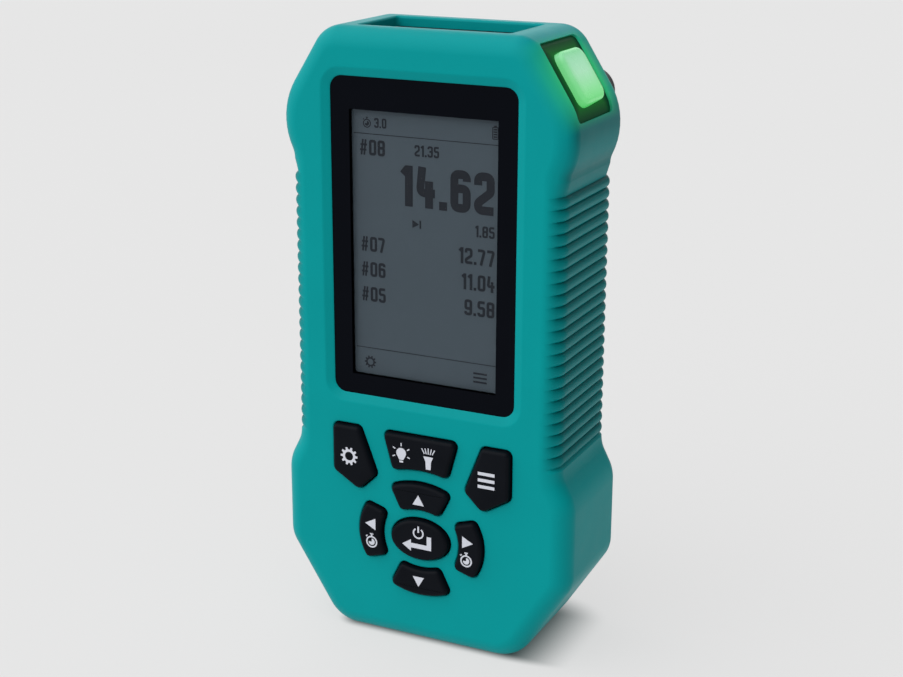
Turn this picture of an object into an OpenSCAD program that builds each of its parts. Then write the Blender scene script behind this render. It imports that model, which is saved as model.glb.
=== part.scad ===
// Hand-held shot timer: a hard two-part case in a ribbed silicone sleeve, with a tall reflective
// screen, eight sprung keys, a lit start button on one corner, a battery door and a sprung belt clip.
// Millimetres. X is width, the screen faces -Y, Z is up, and the foot stands on Z = 0.

/* [Body outline] */
// Height of the sleeve from foot to top
body_h = 138.2; // [132:0.1:146]
// Depth of the sleeve from front face to back face
body_d = 30.8; // [30:0.1:34]
// Width of the top edge between its sharp corners
top_w = 48; // [46:0.1:52]
// Width across the shoulders at their sharp corners
shoulder_w = 72.4; // [69:0.1:78]
// Width of the ribbed waist
waist_w = 64.2; // [63:0.1:67]
// Width across the hips
hip_w = 70.4; // [68:0.1:76]
// Width of the foot between its sharp corners
base_w = 45; // [40:0.1:50]
// Height of the slanted corner under the top edge
chamfer_h = 19.3; // [18:0.1:21]
// Height over which the shoulders draw in to the waist
flare_h = 8.7; // [7:0.1:11]
// Height over which the waist widens to the hips
hip_rise = 6; // [5:0.1:9]
// Height of the straight side of the hips
hip_h = 19; // [16:0.1:23]
// Height of the slanted corner above the foot
foot_h = 19.9; // [17:0.1:22]

/* [Body rounding] */
// Radius of the corner between top and slant
top_r = 7; // [5:0.1:9]
// Radius of the shoulders
shoulder_r = 15.5; // [10:0.1:15.5]
// Radius where the shoulders meet the waist
waist_top_r = 4.6; // [3:0.1:6]
// Radius where the waist meets the hips
waist_low_r = 7; // [4:0.1:8]
// Upper radius of the hips
hip_top_r = 9.9; // [6:0.1:12]
// Lower radius of the hips
hip_low_r = 7.6; // [5:0.1:12]
// Radius of the foot corners
base_r = 8.7; // [6:0.1:11]
// Radius of the edge round the front face
front_edge_r = 5; // [4:0.1:5.5]
// Radius of the edge round the back face
back_edge_r = 4.4; // [3.6:0.1:5]

/* [Sleeve] */
// Thickness of the silicone wall
sleeve_t = 2.2; // [2:0.05:2.5]
// Distance from one rib to the next
rib_pitch = 2.565; // [2.2:0.005:3.2]
// Depth of the grooves between ribs
rib_depth = 0.85; // [0.5:0.05:1]
// Smooth stretch above the first rib
rib_top_gap = 3.9; // [3.5:0.1:8]
// Smooth stretch below the last rib
rib_low_gap = 1.8; // [1.8:0.1:5]
// Width of the sleeve's rim round the back opening
rear_rim = 7.5; // [6.5:0.1:8.5]
// Width of the recess in the top
top_recess_w = 35; // [32:0.1:38]
// Depth of the recess in the top, front to back
top_recess_d = 18; // [17:0.1:19]
// Middle of the top recess behind the middle of the body
top_recess_y = -0.5; // [-1:0.1:0.5]

/* [Case] */
// Clearance between sleeve and case
case_gap = 0.1; // [0.05:0.01:0.2]
// Thickness of the case walls
case_wall = 2; // [1.8:0.05:2.2]
// Bevel round the outer edges of the case
case_chamfer = 1.6; // [1:0.1:1.8]
// Depth of the front case behind the front face of the sleeve
split_depth = 24.6; // [24:0.1:25]
// Thickness of the seal between the case halves
seal_t = 0.6; // [0.4:0.05:0.8]
// Width of the seal
seal_w = 1.2; // [0.8:0.1:1.5]
// Step from the back face of the sleeve down to the back panel
panel_step = 0.6; // [0.4:0.05:0.9]

/* [Screen] */
// Width of the screen window in the sleeve
window_w = 43.5; // [42:0.1:44.5]
// Distance from the top of the body to the window
window_top_gap = 10.2; // [9.8:0.1:11]
// Distance from the upper key row to the window
window_low_gap = 7.3; // [6:0.1:9]
// Corner radius of the window
window_r = 2.8; // [2:0.1:4]
// Width of the rounded lip round the window
lip_w = 1.3; // [0.8:0.1:1.6]
// Depth of the lens below the front face of the sleeve
lens_depth = 1.1; // [1:0.05:1.15]
// Thickness of the lens
lens_t = 1; // [0.9:0.05:1.05]
// How far the lens reaches under the sleeve on each side
lens_hold = 1.2; // [0.8:0.1:1.4]
// Width of the LCD glass
lcd_w = 40.4; // [39:0.1:41]
// How much shorter the LCD glass is than the window
lcd_short = 7.6; // [6.4:0.1:9]
// Thickness of the LCD glass
lcd_t = 1.6; // [1.4:0.05:1.8]
// Width of the viewing area
view_w = 34.6; // [33:0.1:36]
// Border of the LCD glass above and below the viewing area
view_border = 2; // [1.4:0.1:3]
// Distance of the LCD's middle below the window's middle
lcd_drop = 1.2; // [0.8:0.1:1.6]
// Thickness of the backlight panel
backlight_t = 1; // [0.8:0.05:1.2]

/* [Keys] */
// How far the keys stand out of the sleeve
key_proud = 1.3; // [1:0.05:1.6]
// Travel of the keys
key_travel = 0.8; // [0.6:0.05:0.9]
// Clearance round each key
key_gap = 0.3; // [0.25:0.01:0.35]
// Rounding of the key tops
key_round = 0.6; // [0.3:0.05:0.8]
// Width of the flange that holds a key in the case
flange_w = 0.9; // [0.7:0.05:0.95]
// Thickness of the key flanges
flange_t = 0.8; // [0.6:0.05:1]
// Height of the middle of the key ring
ring_z = 25.9; // [25:0.1:27]
// Half width of the key ring
ring_a = 15.3; // [14.6:0.1:15.8]
// Half height of the key ring
ring_b = 13.4; // [13:0.1:13.6]
// Half width of the space inside the key ring
ring_in_a = 9.6; // [9.5:0.1:10]
// Half height of the space inside the up and down keys
ring_in_b = 7.2; // [7.1:0.1:7.6]
// Half height of the curve on the inner edge of the side keys
side_in_b = 10; // [9:0.1:12]
// Half width of the enter key
enter_a = 7.1; // [6.5:0.1:7.2]
// Half height of the enter key
enter_b = 4.75; // [4.3:0.05:4.85]
// Height of the top edge of the upper key row
row_top_z = 50.3; // [50:0.1:51]

/* [Start button] */
// Size of the start window along the slanted corner
start_win_s = 18; // [17.8:0.1:18.4]
// Size of the start window front to back
start_win_y = 19.5; // [19.2:0.1:20]
// Distance of the window's middle down the slant from its upper end
start_at_s = 10.6; // [10.4:0.1:10.8]
// Middle of the start window behind the middle of the body
start_at_y = -1.7; // [-2:0.1:-1.4]
// Size of the button along the slant
start_s = 12; // [11.6:0.1:12.8]
// Size of the button front to back
start_y = 12.3; // [11.8:0.1:14.3]
// How far the button stands out of the slanted corner
start_proud = 1.2; // [0.9:0.05:1.4]
// Travel of the button
start_travel = 1; // [0.8:0.05:1]
// Depth of the dark frame under the face of the sleeve
start_sink = 0.45; // [0.3:0.05:0.6]

/* [Battery bay] */
// Diameter of a cell
cell_d = 14.5; // [14:0.1:14.5]
// Length of a cell with its nub
cell_len = 50.5; // [49:0.1:50.5]
// Clearance round the cells
cell_gap = 0.4; // [0.3:0.05:0.5]
// Wall of the battery bay
bay_wall = 1.5; // [1.2:0.1:1.7]
// Height of the bay's floor above the foot
bay_low_z = 15; // [14.8:0.1:16]
// Thickness of the battery door
door_t = 2; // [1.8:0.05:2.1]
// Clearance round the door
door_gap = 0.3; // [0.25:0.01:0.35]
// Height of the door's hinge axis
hinge_z = 12.4; // [12.2:0.1:12.6]

/* [Belt clip] */
// Width of the clip
clip_w = 24; // [22:0.5:28]
// Distance of the clip's pivot below the top of the body
clip_top_gap = 26.2; // [25.2:0.1:28.2]
// Distance of the pivot from the back panel
clip_pivot_y = 4.8; // [4.6:0.1:6]
// Length of the clip below its pivot
clip_drop = 34; // [30:0.5:35]
// Length of the thumb plate above the pivot
clip_rise = 12; // [10:0.5:14]
// Thickness of the clip
clip_t = 2; // [1.6:0.1:2.4]
// Radius of the clip's pin
clip_pin_r = 1.5; // [1.3:0.05:1.6]

/* [Lanyard post] */
// Radius of the lanyard post
post_r = 5.2; // [4.8:0.1:5.4]
// Height of the lanyard post above the back of the sleeve
post_h = 5.9; // [5:0.1:6]
// Distance of the post's middle to the side
post_x = 24.4; // [24:0.1:25]
// Distance of the post's middle below the top of the body
post_drop = 15.1; // [14.5:0.1:15.5]
// Radius of the lanyard hole
lanyard_r = 1.6; // [1.4:0.05:1.7]

/* [Hidden] */
$fn = 48;

// Rounding of outlines: segments in each corner, and the least radius an inset may leave
corner_steps = 5;
least_r = 0.4;
// Small clearances: pieces that seat on each other, screws in their holes, shafts in their bores
seat_gap = 0.1;
screw_gap = 0.15;
screw_room = 0.6;
run_gap = 0.06;
// How far a cut runs past the face it opens
past = 1;

// Places along the depth, counted from the front face of the sleeve
case_in = sleeve_t + case_gap;
case_face = case_in;
inner_face = case_face + case_wall;
back_face = body_d - case_in;
panel_face = body_d - panel_step;
press_room = 0.2;
mat_t = 1.2;
dome_h = 0.35;
board_face = inner_face + seat_gap + flange_t + key_travel + press_room + mat_t;
board_t = 1.6;
lcd_face = case_face;
light_back = lcd_face + lcd_t + backlight_t;
lcd_r = 0.5;
light_edge = 0.5;
display_bar = 4;
back_y = body_d/2;
panel_y = panel_face - body_d/2;

function at_depth(t) = t - body_d/2;

// Heights along the body
shoulder_z = body_h - chamfer_h;
waist_top_z = shoulder_z - flare_h;
hip_top_z = foot_h + hip_h;
waist_low_z = hip_top_z + hip_rise;
window_h = body_h - window_top_gap - window_low_gap - row_top_z;
window_z = body_h - window_top_gap - window_h/2;
lcd_h = window_h - lcd_short;
lcd_z = window_z - lcd_drop;
view_h = lcd_h - 2*view_border;
clip_z = body_h - clip_top_gap;

// The body's outline with sharp corners, clockwise from the upper right corner
right_corners = [
    [top_w/2, body_h], [shoulder_w/2, shoulder_z], [waist_w/2, waist_top_z], [waist_w/2, waist_low_z],
    [hip_w/2, hip_top_z], [hip_w/2, foot_h], [base_w/2, 0]
];
body_corners = concat(right_corners, mirrored(right_corners));
// The shoulder's arc and the one under it share the flare between them
flare_len = norm(right_corners[2] - right_corners[1]);
shoulder_room = (flare_len - waist_top_r*bend(body_corners, 2))/bend(body_corners, 1);
right_radii = [
    top_r, min(shoulder_r, shoulder_room), waist_top_r, waist_low_r, hip_top_r, hip_low_r, base_r
];
body_radii = concat(right_radii, reversed(right_radii));

function reversed(list) = [for (i = [len(list) - 1:-1:0]) list[i]];
function mirrored(points) = [for (p = reversed(points)) [-p.x, p.y]];
function unit(v) = v/norm(v);
// The side to the right of a direction, which is inwards on a clockwise outline
function inward(v) = [v.y, -v.x];
function turned(v, a) = [v.x*cos(a) - v.y*sin(a), v.x*sin(a) + v.y*cos(a)];

// The directions into and out of a corner, its turn, and how far a round of radius 1 reaches along its sides
function side_in(p, i) = unit(p[i] - p[(i + len(p) - 1) % len(p)]);
function side_out(p, i) = unit(p[(i + 1) % len(p)] - p[i]);
function corner_turn(u, v) = atan2(u.x*v.y - u.y*v.x, u*v);
function bend(p, i) = tan(abs(corner_turn(side_in(p, i), side_out(p, i)))/2);

// One corner of a clockwise outline, moved inwards by d and rounded by its radius
function corner_points(p, r, d, i) = let(
    u = side_in(p, i),
    v = side_out(p, i),
    a = inward(u),
    corner = p[i] + d*(a + inward(v))/(1 + a*inward(v)),
    turn = corner_turn(u, v),
    out = turn < 0,
    radius = out ? max(r[i] - d, least_r) : r[i] + d,
    start = corner - u*radius*tan(abs(turn)/2),
    centre = start + a*radius*(out ? 1 : -1)
) r[i] == 0 ? [corner] : [for (k = [0:corner_steps]) centre + turned(start - centre, turn*k/corner_steps)];

// A clockwise outline with rounded corners, moved inwards by d
function rounded(p, r, d = 0) = [for (i = [0:len(p) - 1]) each corner_points(p, r, d, i)];
function body_outline(d) = rounded(body_corners, body_radii, d);
function box_outline(w, h, z, r, d = 0) = rounded(
    [[w/2, z + h/2], [w/2, z - h/2], [-w/2, z - h/2], [-w/2, z + h/2]], [r, r, r, r], d);

// Ribs along the waist: round crests that meet in sharp grooves
rib_steps = 4;
rib_count = floor((waist_top_z - waist_low_z - rib_top_gap - rib_low_gap)/rib_pitch);
rib_r = (rib_pitch*rib_pitch/4 + rib_depth*rib_depth)/(2*rib_depth);
function rib_drop(k) = let(off = ((k % rib_steps)/rib_steps - 0.5)*rib_pitch)
    rib_r - sqrt(rib_r*rib_r - off*off);
function ribs(d, share) = [for (k = [0:rib_steps*rib_count])
    [waist_w/2 - d - share*rib_drop(k), waist_top_z - rib_top_gap - k*rib_pitch/rib_steps]];
function ribbed_outline(d, share) = let(
    upper = [for (i = [0:2]) each corner_points(body_corners, body_radii, d, i)],
    lower = [for (i = [3:6]) each corner_points(body_corners, body_radii, d, i)],
    half = concat(upper, ribs(d, share), lower)
) concat(half, mirrored(half));

// The round front and back edges: each row is the inset, the depth and the share of the rib depth
edge_steps = 3;
rib_fade = [12, 55];
function edge_angle(k) = 90*k/edge_steps;
function rib_share(a) = max(0, min(1, (a - rib_fade[0])/(rib_fade[1] - rib_fade[0])));
function edge_row(r, a, front) = let(depth = r*(1 - cos(a)))
    [r*(1 - sin(a)), front ? depth : body_d - depth, rib_share(a)];
skin_rows = concat(
    [for (k = [0:edge_steps]) edge_row(front_edge_r, edge_angle(k), true)],
    [for (k = [edge_steps:-1:0]) edge_row(back_edge_r, edge_angle(k), false)]);

// Key outlines, clockwise, each from a point that sees all the others, so that its ends fan out from there
ring_steps = 6;
ring_half = ring_steps/2;
function ring_point(a, b, angle) = [a*cos(angle), ring_z + b*sin(angle)];
// A piece of the key ring round an angle: along its rim, back along the inner curve and to the rim's middle
function ring_key(in_b, angle, span, in_span) = concat(
    [for (k = [0:ring_half]) ring_point(ring_a, ring_b, angle - span*k/ring_half)],
    [for (k = [0:ring_steps]) ring_point(ring_in_a, in_b, angle + in_span*(k/ring_half - 1))],
    [for (k = [0:ring_half - 1]) ring_point(ring_a, ring_b, angle + span*(1 - k/ring_half))]);
key_corner_r = 1.1;
ring_corners = [ring_half, ring_half + 1, ring_half + 1 + ring_steps, ring_half + 2 + ring_steps];
ring_radii = [for (k = [0:2*ring_steps + 1]) len(search(k, ring_corners)) > 0 ? key_corner_r : 0];
// Half angles of the up and down keys, and of the side keys at their outer and inner edges
up_angle = 28.5;
side_angle = 30;
side_in_angle = 31;
enter_steps = 28;
enter_points = [for (k = [0:enter_steps - 1]) ring_point(enter_a, enter_b, -360*k/enter_steps)];
enter_radii = [for (point = enter_points) 0];
// Upper row: a five-sided key on each side and a wide one with an arched foot between them
pair_in_x = 15;
pair_out_x = 21.6;
pair_side_h = 11;
pair_foot_x = 15.2;
pair_foot_drop = 14.9;
pair_tip_x = 10.9;
pair_tip_drop = 10.7;
pair_r = 1.2;
pair_low_r = 1.5;
pair_points = [
    [pair_in_x, row_top_z], [pair_out_x, row_top_z], [pair_out_x, row_top_z - pair_side_h],
    [pair_foot_x, row_top_z - pair_foot_drop], [pair_tip_x, row_top_z - pair_tip_drop]
];
pair_radii = [pair_r, pair_r, pair_low_r, pair_low_r, pair_r];
light_top_w = 18;
light_foot_w = 13.2;
light_h = 8.7;
arch_r = 25;
arch_z = row_top_z - light_h - sqrt(arch_r*arch_r - light_foot_w*light_foot_w/4);
arch_angle = asin(light_foot_w/2/arch_r);
light_points = concat(
    [[0, row_top_z], [light_top_w/2, row_top_z]],
    [for (k = [0:ring_steps]) let(a = arch_angle*(1 - 2*k/ring_steps))
        [arch_r*sin(a), arch_z + arch_r*cos(a)]],
    [[-light_top_w/2, row_top_z]]);
light_corners = [1, 2, ring_steps + 2, ring_steps + 3];
light_radii = [for (k = [0:ring_steps + 3]) len(search(k, light_corners)) > 0 ? key_corner_r : 0];

KEY_NAMES = ["settings", "light", "menu", "up", "down", "left", "right", "enter"];
key_points = [
    mirrored(pair_points), light_points, pair_points,
    ring_key(ring_in_b, 90, up_angle, up_angle), ring_key(ring_in_b, 270, up_angle, up_angle),
    ring_key(side_in_b, 180, side_angle, side_in_angle), ring_key(side_in_b, 0, side_angle, side_in_angle),
    enter_points
];
key_radii = [
    reversed(pair_radii), light_radii, pair_radii,
    ring_radii, ring_radii, ring_radii, ring_radii, enter_radii
];
function key_outline(i, d = 0) = rounded(key_points[i], key_radii[i], d);
// The flange behind a key keeps the key's own corner radii
function flange_outline(i) = let(radii = [for (r = key_radii[i]) r > 0 ? max(r - flange_w, least_r/2) : 0])
    rounded(key_points[i], radii, -flange_w);
function middle(points) = [for (axis = [0, 1])
    let(line = [for (p = points) p[axis]]) (min(line) + max(line))/2];
key_spots = [for (points = key_points) middle(points)];
plunger_r = 1.5;
plunger_len = 0.85;
dome_r = 2.5;
dome_hole_r = 2.9;
mat_margin = 1.4;
mat_r = 2;
mat_low_z = ring_z - ring_b - mat_margin;
mat_high_z = row_top_z + mat_margin;

// Main board and its screws
board_w = 42;
board_low_z = 9.5;
board_r = 1.5;
board_screw_x = 18;
board_screw_low_z = 14;
board_screw_rise = 4.2;
board_screw_zs = [board_screw_low_z, row_top_z + board_screw_rise];
board_post_r = 2.1;
board_screw_r = 0.9;
board_head_r = 1.9;
board_head_h = 1.1;

// Case screws, in from the back beside the board and the display
case_boss_r = 2.3;
case_screw_r = 1.1;
case_head_r = 2;
case_head_h = 1.3;
case_screw_len = 12;
boss_clear = 0.4;
display_rim = 0.2;
low_screw_in = 11;
low_screw_rise = 4.1;
high_screw_in = 13;
high_screw_drop = 3.9;
low_screw = [
    max(hip_w/2 - low_screw_in, board_w/2 + case_boss_r + boss_clear), foot_h + low_screw_rise
];
high_screw = [
    max(shoulder_w/2 - high_screw_in, lcd_w/2 + display_rim + case_boss_r + boss_clear),
    shoulder_z - high_screw_drop
];
case_screw_spots = concat([low_screw, high_screw], mirrored([low_screw, high_screw]));
board_high_z = high_screw.y - case_boss_r - boss_clear;

case_head_y = at_depth(back_face) - case_head_h - seat_gap;
case_screw_end = at_depth(split_depth) - case_screw_len;

// The slanted corner: its angle, and a frame with X down the slant, Y backwards and Z outwards
slant_angle = atan2(chamfer_h, (shoulder_w - top_w)/2);
start_hole_gap = 0.3;
start_wall = 0.9;
start_neck_s = start_s + 2*(start_hole_gap + start_wall);
start_neck_y = start_y + 2*(start_hole_gap + start_wall);
start_neck_end = -inner_face - seat_gap;
start_flange_w = 0.7;
start_flange_t = 1;
start_flange_end = start_neck_end - seat_gap - start_flange_t;
start_stem_h = 0.5;
start_stem_r = 1.6;
start_stem_end = start_flange_end - start_stem_h;
start_round = 0.9;
start_switch_top = start_stem_end - start_travel - seat_gap;
start_switch_h = 0.9;
switch_w = 6;
switch_dot_h = 0.3;
switch_dot_r = 1.75;
lamp_y = 5;
start_board_top = start_switch_top - start_switch_h;
start_board_t = 1;
start_board_gap = 0.4;
// Where the board's upper end meets the top wall of the case, down the slant
start_board_high = (inner_face + start_board_gap + start_board_top*cos(slant_angle))/sin(slant_angle);
start_board_s = 2*(start_at_s - start_board_high);
start_board_y = 14;
start_board_r = 1;
start_post_r = 1.4;
start_post_s = start_neck_s/2 + seat_gap + start_post_r;
start_corner_r = 2.6;
start_win_r = 1.2;

// Top panel and what hangs from it
case_top_z = body_h - case_in;
panel_edge = 0.5;
top_panel_t = 1;
top_neck_t = 1.5;
top_ledge = 1.8;
top_panel_w = top_recess_w - 2*panel_edge;
top_panel_d = top_recess_d - 2*panel_edge;
top_neck_z = case_top_z - top_panel_t - top_neck_t;
torch_end_gap = 8;
torch_x = top_panel_w/2 - torch_end_gap;
torch_r = 3.4;
microphone_x = 2.4;
buzzer_end_gap = 9;
buzzer_x = buzzer_end_gap - top_panel_w/2;
slot_count = 5;
slot_pitch = 2.4;
slot_w = 1.1;
slot_len = 9;
sound_r = 0.8;
top_recess_r = 0.8;
buzzer_r = 6;
buzzer_h = 7.5;
buzzer_port = 1.2;
microphone_r = 1.9;
microphone_h = 2;
torch_flange_t = 1;
torch_flange_w = 0.9;
torch_z = top_neck_z - torch_flange_t;
lamp_board_t = 0.8;
lamp_h = 0.6;
lamp_r = 1.6;

// Battery bay: cells side by side behind the main board
door_face_in = panel_y - door_t;
cell_pitch = cell_d + cell_gap;
cell_y = door_face_in - cell_gap - cell_d/2;
bay_half_w = cell_pitch/2 + cell_d/2 + cell_gap;
bay_floor_y = cell_y - cell_d/2 - cell_gap;
plate_t = 0.5;
plate_w = 11;
spring_len = 4;
bay_len = 2*plate_t + spring_len + 3*seat_gap + cell_len;
bay_high_z = bay_low_z + bay_len;
hinge_r = 1.8;
hinge_y = panel_y - hinge_r;
hinge_pin_r = 0.9;
hinge_pin_len = 2.4;
door_half_w = bay_half_w + 1;
door_high_z = bay_high_z + bay_wall;
dish_r = 8;
dish_depth = 1;
dish_drop = 6;
nail_r = 6;
nail_depth = 1.2;
groove_count = 4;
groove_pitch = 2;
groove_depth = 0.5;
groove_w = 14;
cell_nub_r = 2.7;
cell_nub_h = 1.1;

// Belt clip
clip_y = panel_y + clip_pivot_y;
clip_base_t = 1.8;
clip_ear_r = 2.8;
clip_side_gap = 0.3;
clip_plate_y = clip_y + clip_ear_r + clip_side_gap;
clip_ear_in = 7.4;
clip_ear_t = 2.8;
clip_ear_out = clip_ear_in + clip_ear_t;
clip_barrel_in = 3.2;
clip_barrel_out = clip_ear_in - clip_side_gap;
clip_corner_r = 4;
clip_barrel_r = 2.5;
clip_nose_gap = 0.5;
clip_nose_h = 4;
clip_base_low = 10.5;
clip_base_high = 5;
clip_screw_x = 6.5;
clip_screw_drop = 7.6;
clip_screw_z = clip_z - clip_screw_drop;
clip_screw_r = 1.1;
clip_boss_r = 2.5;
clip_screw_depth = 4;
clip_screw_end = panel_y - clip_screw_depth;
clip_head_r = 2.1;
clip_head_h = 1.1;
clip_spring_r = 2.35;
clip_wire_r = 0.35;
clip_turns = 4.5;
clip_leg = 6;

// Lanyard post
post_z = body_h - post_drop;
post_y = back_y + post_h;
post_round = 1.4;
lanyard_rise = 2.1;
lanyard_y = back_y + lanyard_rise;

// A prism through the body, from depth y0 to depth y1
module plate(points, y0, y1) {
    translate([0, y1, 0]) rotate([90, 0, 0]) linear_extrude(y1 - y0) polygon(points);
}

// A closed skin over outlines of equal length, one at each place along Y. Its ends fan out from the first
// point, or are ladders of faces from side to side on an outline that is its own mirror image
module loft(outlines, places, ladder = false) {
    n = len(outlines[0]);
    last = len(outlines) - 1;
    points = [for (j = [0:last]) for (p = outlines[j]) [p.x, places[j], p.y]];
    sides = [for (j = [0:last - 1]) for (i = [0:n - 1])
        let(a = j*n + i, b = a + n, d = j*n + (i + 1) % n, c = d + n) each [[a, b, c], [a, c, d]]];
    front = ladder ? [for (i = [0:n/2 - 2]) [i, i + 1, n - 2 - i, n - 1 - i]] : [[for (i = [0:n - 1]) i]];
    back = [for (face = front) [for (i = reversed(face)) last*n + i]];
    polyhedron(points, concat(front, sides, back));
}

// A round bar along Y between two places
module bar_y(x, z, r, y0, y1) {
    translate([x, y1, z]) rotate([90, 0, 0]) cylinder(h = y1 - y0, r = r);
}

// A round bar along X between two places
module bar_x(y, z, r, x0, x1) {
    translate([x0, y, z]) rotate([0, 90, 0]) cylinder(h = x1 - x0, r = r);
}

// A block between two corners
module block(low, high) {
    translate(low) cube(high - low);
}

// Places its children on the slanted corner, at the middle of the start window
module on_slant() {
    translate([top_w/2, 0, body_h]) rotate([0, slant_angle, 0]) translate([start_at_s, start_at_y, 0])
        children();
}

// A block on the slant with rounded corners, between two heights
module slant_block(s, y, r, low, high) {
    translate([0, 0, low]) linear_extrude(high - low) polygon(box_outline(s, y, 0, r));
}

// A round wire along X and round the clip's axis: each row is [x, y, z, angle of its normal]
module wire(rows, r, sides = 6) {
    points = [for (row = rows) for (k = [0:sides - 1]) let(a = 360*k/sides)
        [row[0] + r*sin(a), row[1] + r*cos(a)*cos(row[3]), row[2] + r*cos(a)*sin(row[3])]];
    last = len(rows) - 1;
    skin = [for (j = [0:last - 1]) for (k = [0:sides - 1])
        let(a = j*sides + k, b = a + sides, d = j*sides + (k + 1) % sides, c = d + sides)
        each [[a, d, c], [a, c, b]]];
    start = [for (k = [sides - 1:-1:0]) k];
    end = [for (k = [0:sides - 1]) last*sides + k];
    polyhedron(points, concat([start], skin, [end]));
}

module silicone_sleeve() color([0.0, 0.54, 0.54]) difference() {
    loft([for (row = skin_rows) ribbed_outline(row[0], row[2])],
        [for (row = skin_rows) at_depth(row[1])], true);
    case_space(sleeve_t);
    plate(body_outline(rear_rim), at_depth(body_d - sleeve_t - past), back_y + past);
    window_cut(0, at_depth(-past), at_depth(sleeve_t + past));
    for (k = [0:lip_steps - 1]) hull() {
        lip_slice(k);
        lip_slice(k + 1);
    }
    window_cut(lens_hold + seat_gap, at_depth(lens_depth - seat_gap), at_depth(sleeve_t + past));
    for (i = [0:len(KEY_NAMES) - 1])
        plate(key_outline(i, -key_gap), at_depth(-past), at_depth(sleeve_t + past));
    translate([0, top_recess_y, body_h - sleeve_t - past])
        rounded_block(top_recess_w, top_recess_d, top_recess_r, sleeve_t + 2*past);
    on_slant() translate([0, 0, -case_in - past])
        rounded_block(start_win_s, start_win_y, start_win_r, case_in + 2*past);
    bar_y(post_x, post_z, post_r + key_gap, at_depth(body_d - sleeve_t - past), back_y + past);
}

// A block with round upright edges, centred in X and Y
module rounded_block(w, d, r, h) {
    linear_extrude(h) hull() for (x = [-1, 1], y = [-1, 1])
        translate([x*(w/2 - r), y*(d/2 - r)]) circle(r, $fn = 24);
}

// The screen window, grown on all sides, between two depths
module window_cut(grow, y0, y1) {
    translate([0, y1, window_z]) rotate([90, 0, 0])
        rounded_block(window_w + 2*grow, window_h + 2*grow, window_r + grow/2, y1 - y0);
}

// One slice of the rounded lip of the sleeve above the lens, from the face down to the lens
lip_steps = 4;
slice_t = 0.02;
module lip_slice(k) {
    angle = 90*k/lip_steps;
    y = at_depth((lens_depth - 2*seat_gap)*(1 - cos(angle)));
    window_cut(lip_w*(1 - sin(angle)), y - slice_t, y);
}

lens_outline = box_outline(window_w + 2*lens_hold, window_h + 2*lens_hold, window_z, window_r + lens_hold/2);

// The space for the case inside the sleeve: a prism with bevelled front and back edges
module case_space(t) {
    bevel = case_chamfer;
    loft([for (d = [t + bevel, t, t, t + bevel]) body_outline(d)],
        [at_depth(t), at_depth(t + bevel), at_depth(body_d - t - bevel), at_depth(body_d - t)], true);
}

module front_case() color([0.05, 0.05, 0.06]) difference() {
    union() {
        difference() {
            loft([for (d = [case_in + case_chamfer, case_in, case_in]) body_outline(d)],
                [at_depth(case_face), at_depth(case_face + case_chamfer), at_depth(split_depth)], true);
            plate(body_outline(case_in + case_wall), at_depth(inner_face), at_depth(split_depth + past));
        }
        for (spot = case_screw_spots)
            bar_y(spot.x, spot.y, case_boss_r, at_depth(inner_face), at_depth(split_depth));
        for (x = [-1, 1], z = board_screw_zs)
            bar_y(x*board_screw_x, z, board_post_r, at_depth(inner_face), at_depth(board_face));
        on_slant() for (s = [-1, 1]) translate([s*start_post_s, 0, start_board_top])
            cylinder(h = -inner_face - start_board_top + case_wall/2, r = start_post_r);
    }
    plate(box_outline(lcd_w, lcd_h, lcd_z, lcd_r, -seat_gap),
        at_depth(case_face - past), at_depth(inner_face + past));
    for (i = [0:len(KEY_NAMES) - 1])
        plate(key_outline(i, -key_gap), at_depth(case_face - past), at_depth(inner_face + past));
    top_opening(top_panel_w, top_panel_d, case_top_z - top_panel_t);
    top_opening(top_panel_w - 2*top_ledge, top_panel_d - 2*top_ledge, case_top_z - case_wall - past);
    on_slant() slant_block(start_neck_s, start_neck_y, start_corner_r, -inner_face - 2*past, 0);
    for (spot = case_screw_spots)
        bar_y(spot.x, spot.y, case_screw_r + screw_gap,
            case_screw_end - screw_room, at_depth(split_depth) + past);
    for (x = [-1, 1], z = board_screw_zs)
        bar_y(x*board_screw_x, z, board_screw_r + screw_gap,
            at_depth(inner_face) + screw_room, at_depth(board_face) + past);
}

// A cut down into the top of the case, with clearance round what goes in
module top_opening(w, d, low) {
    x = w/2 + seat_gap;
    y = d/2 + seat_gap;
    block([-x, top_recess_y - y, low], [x, top_recess_y + y, body_h]);
}

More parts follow.
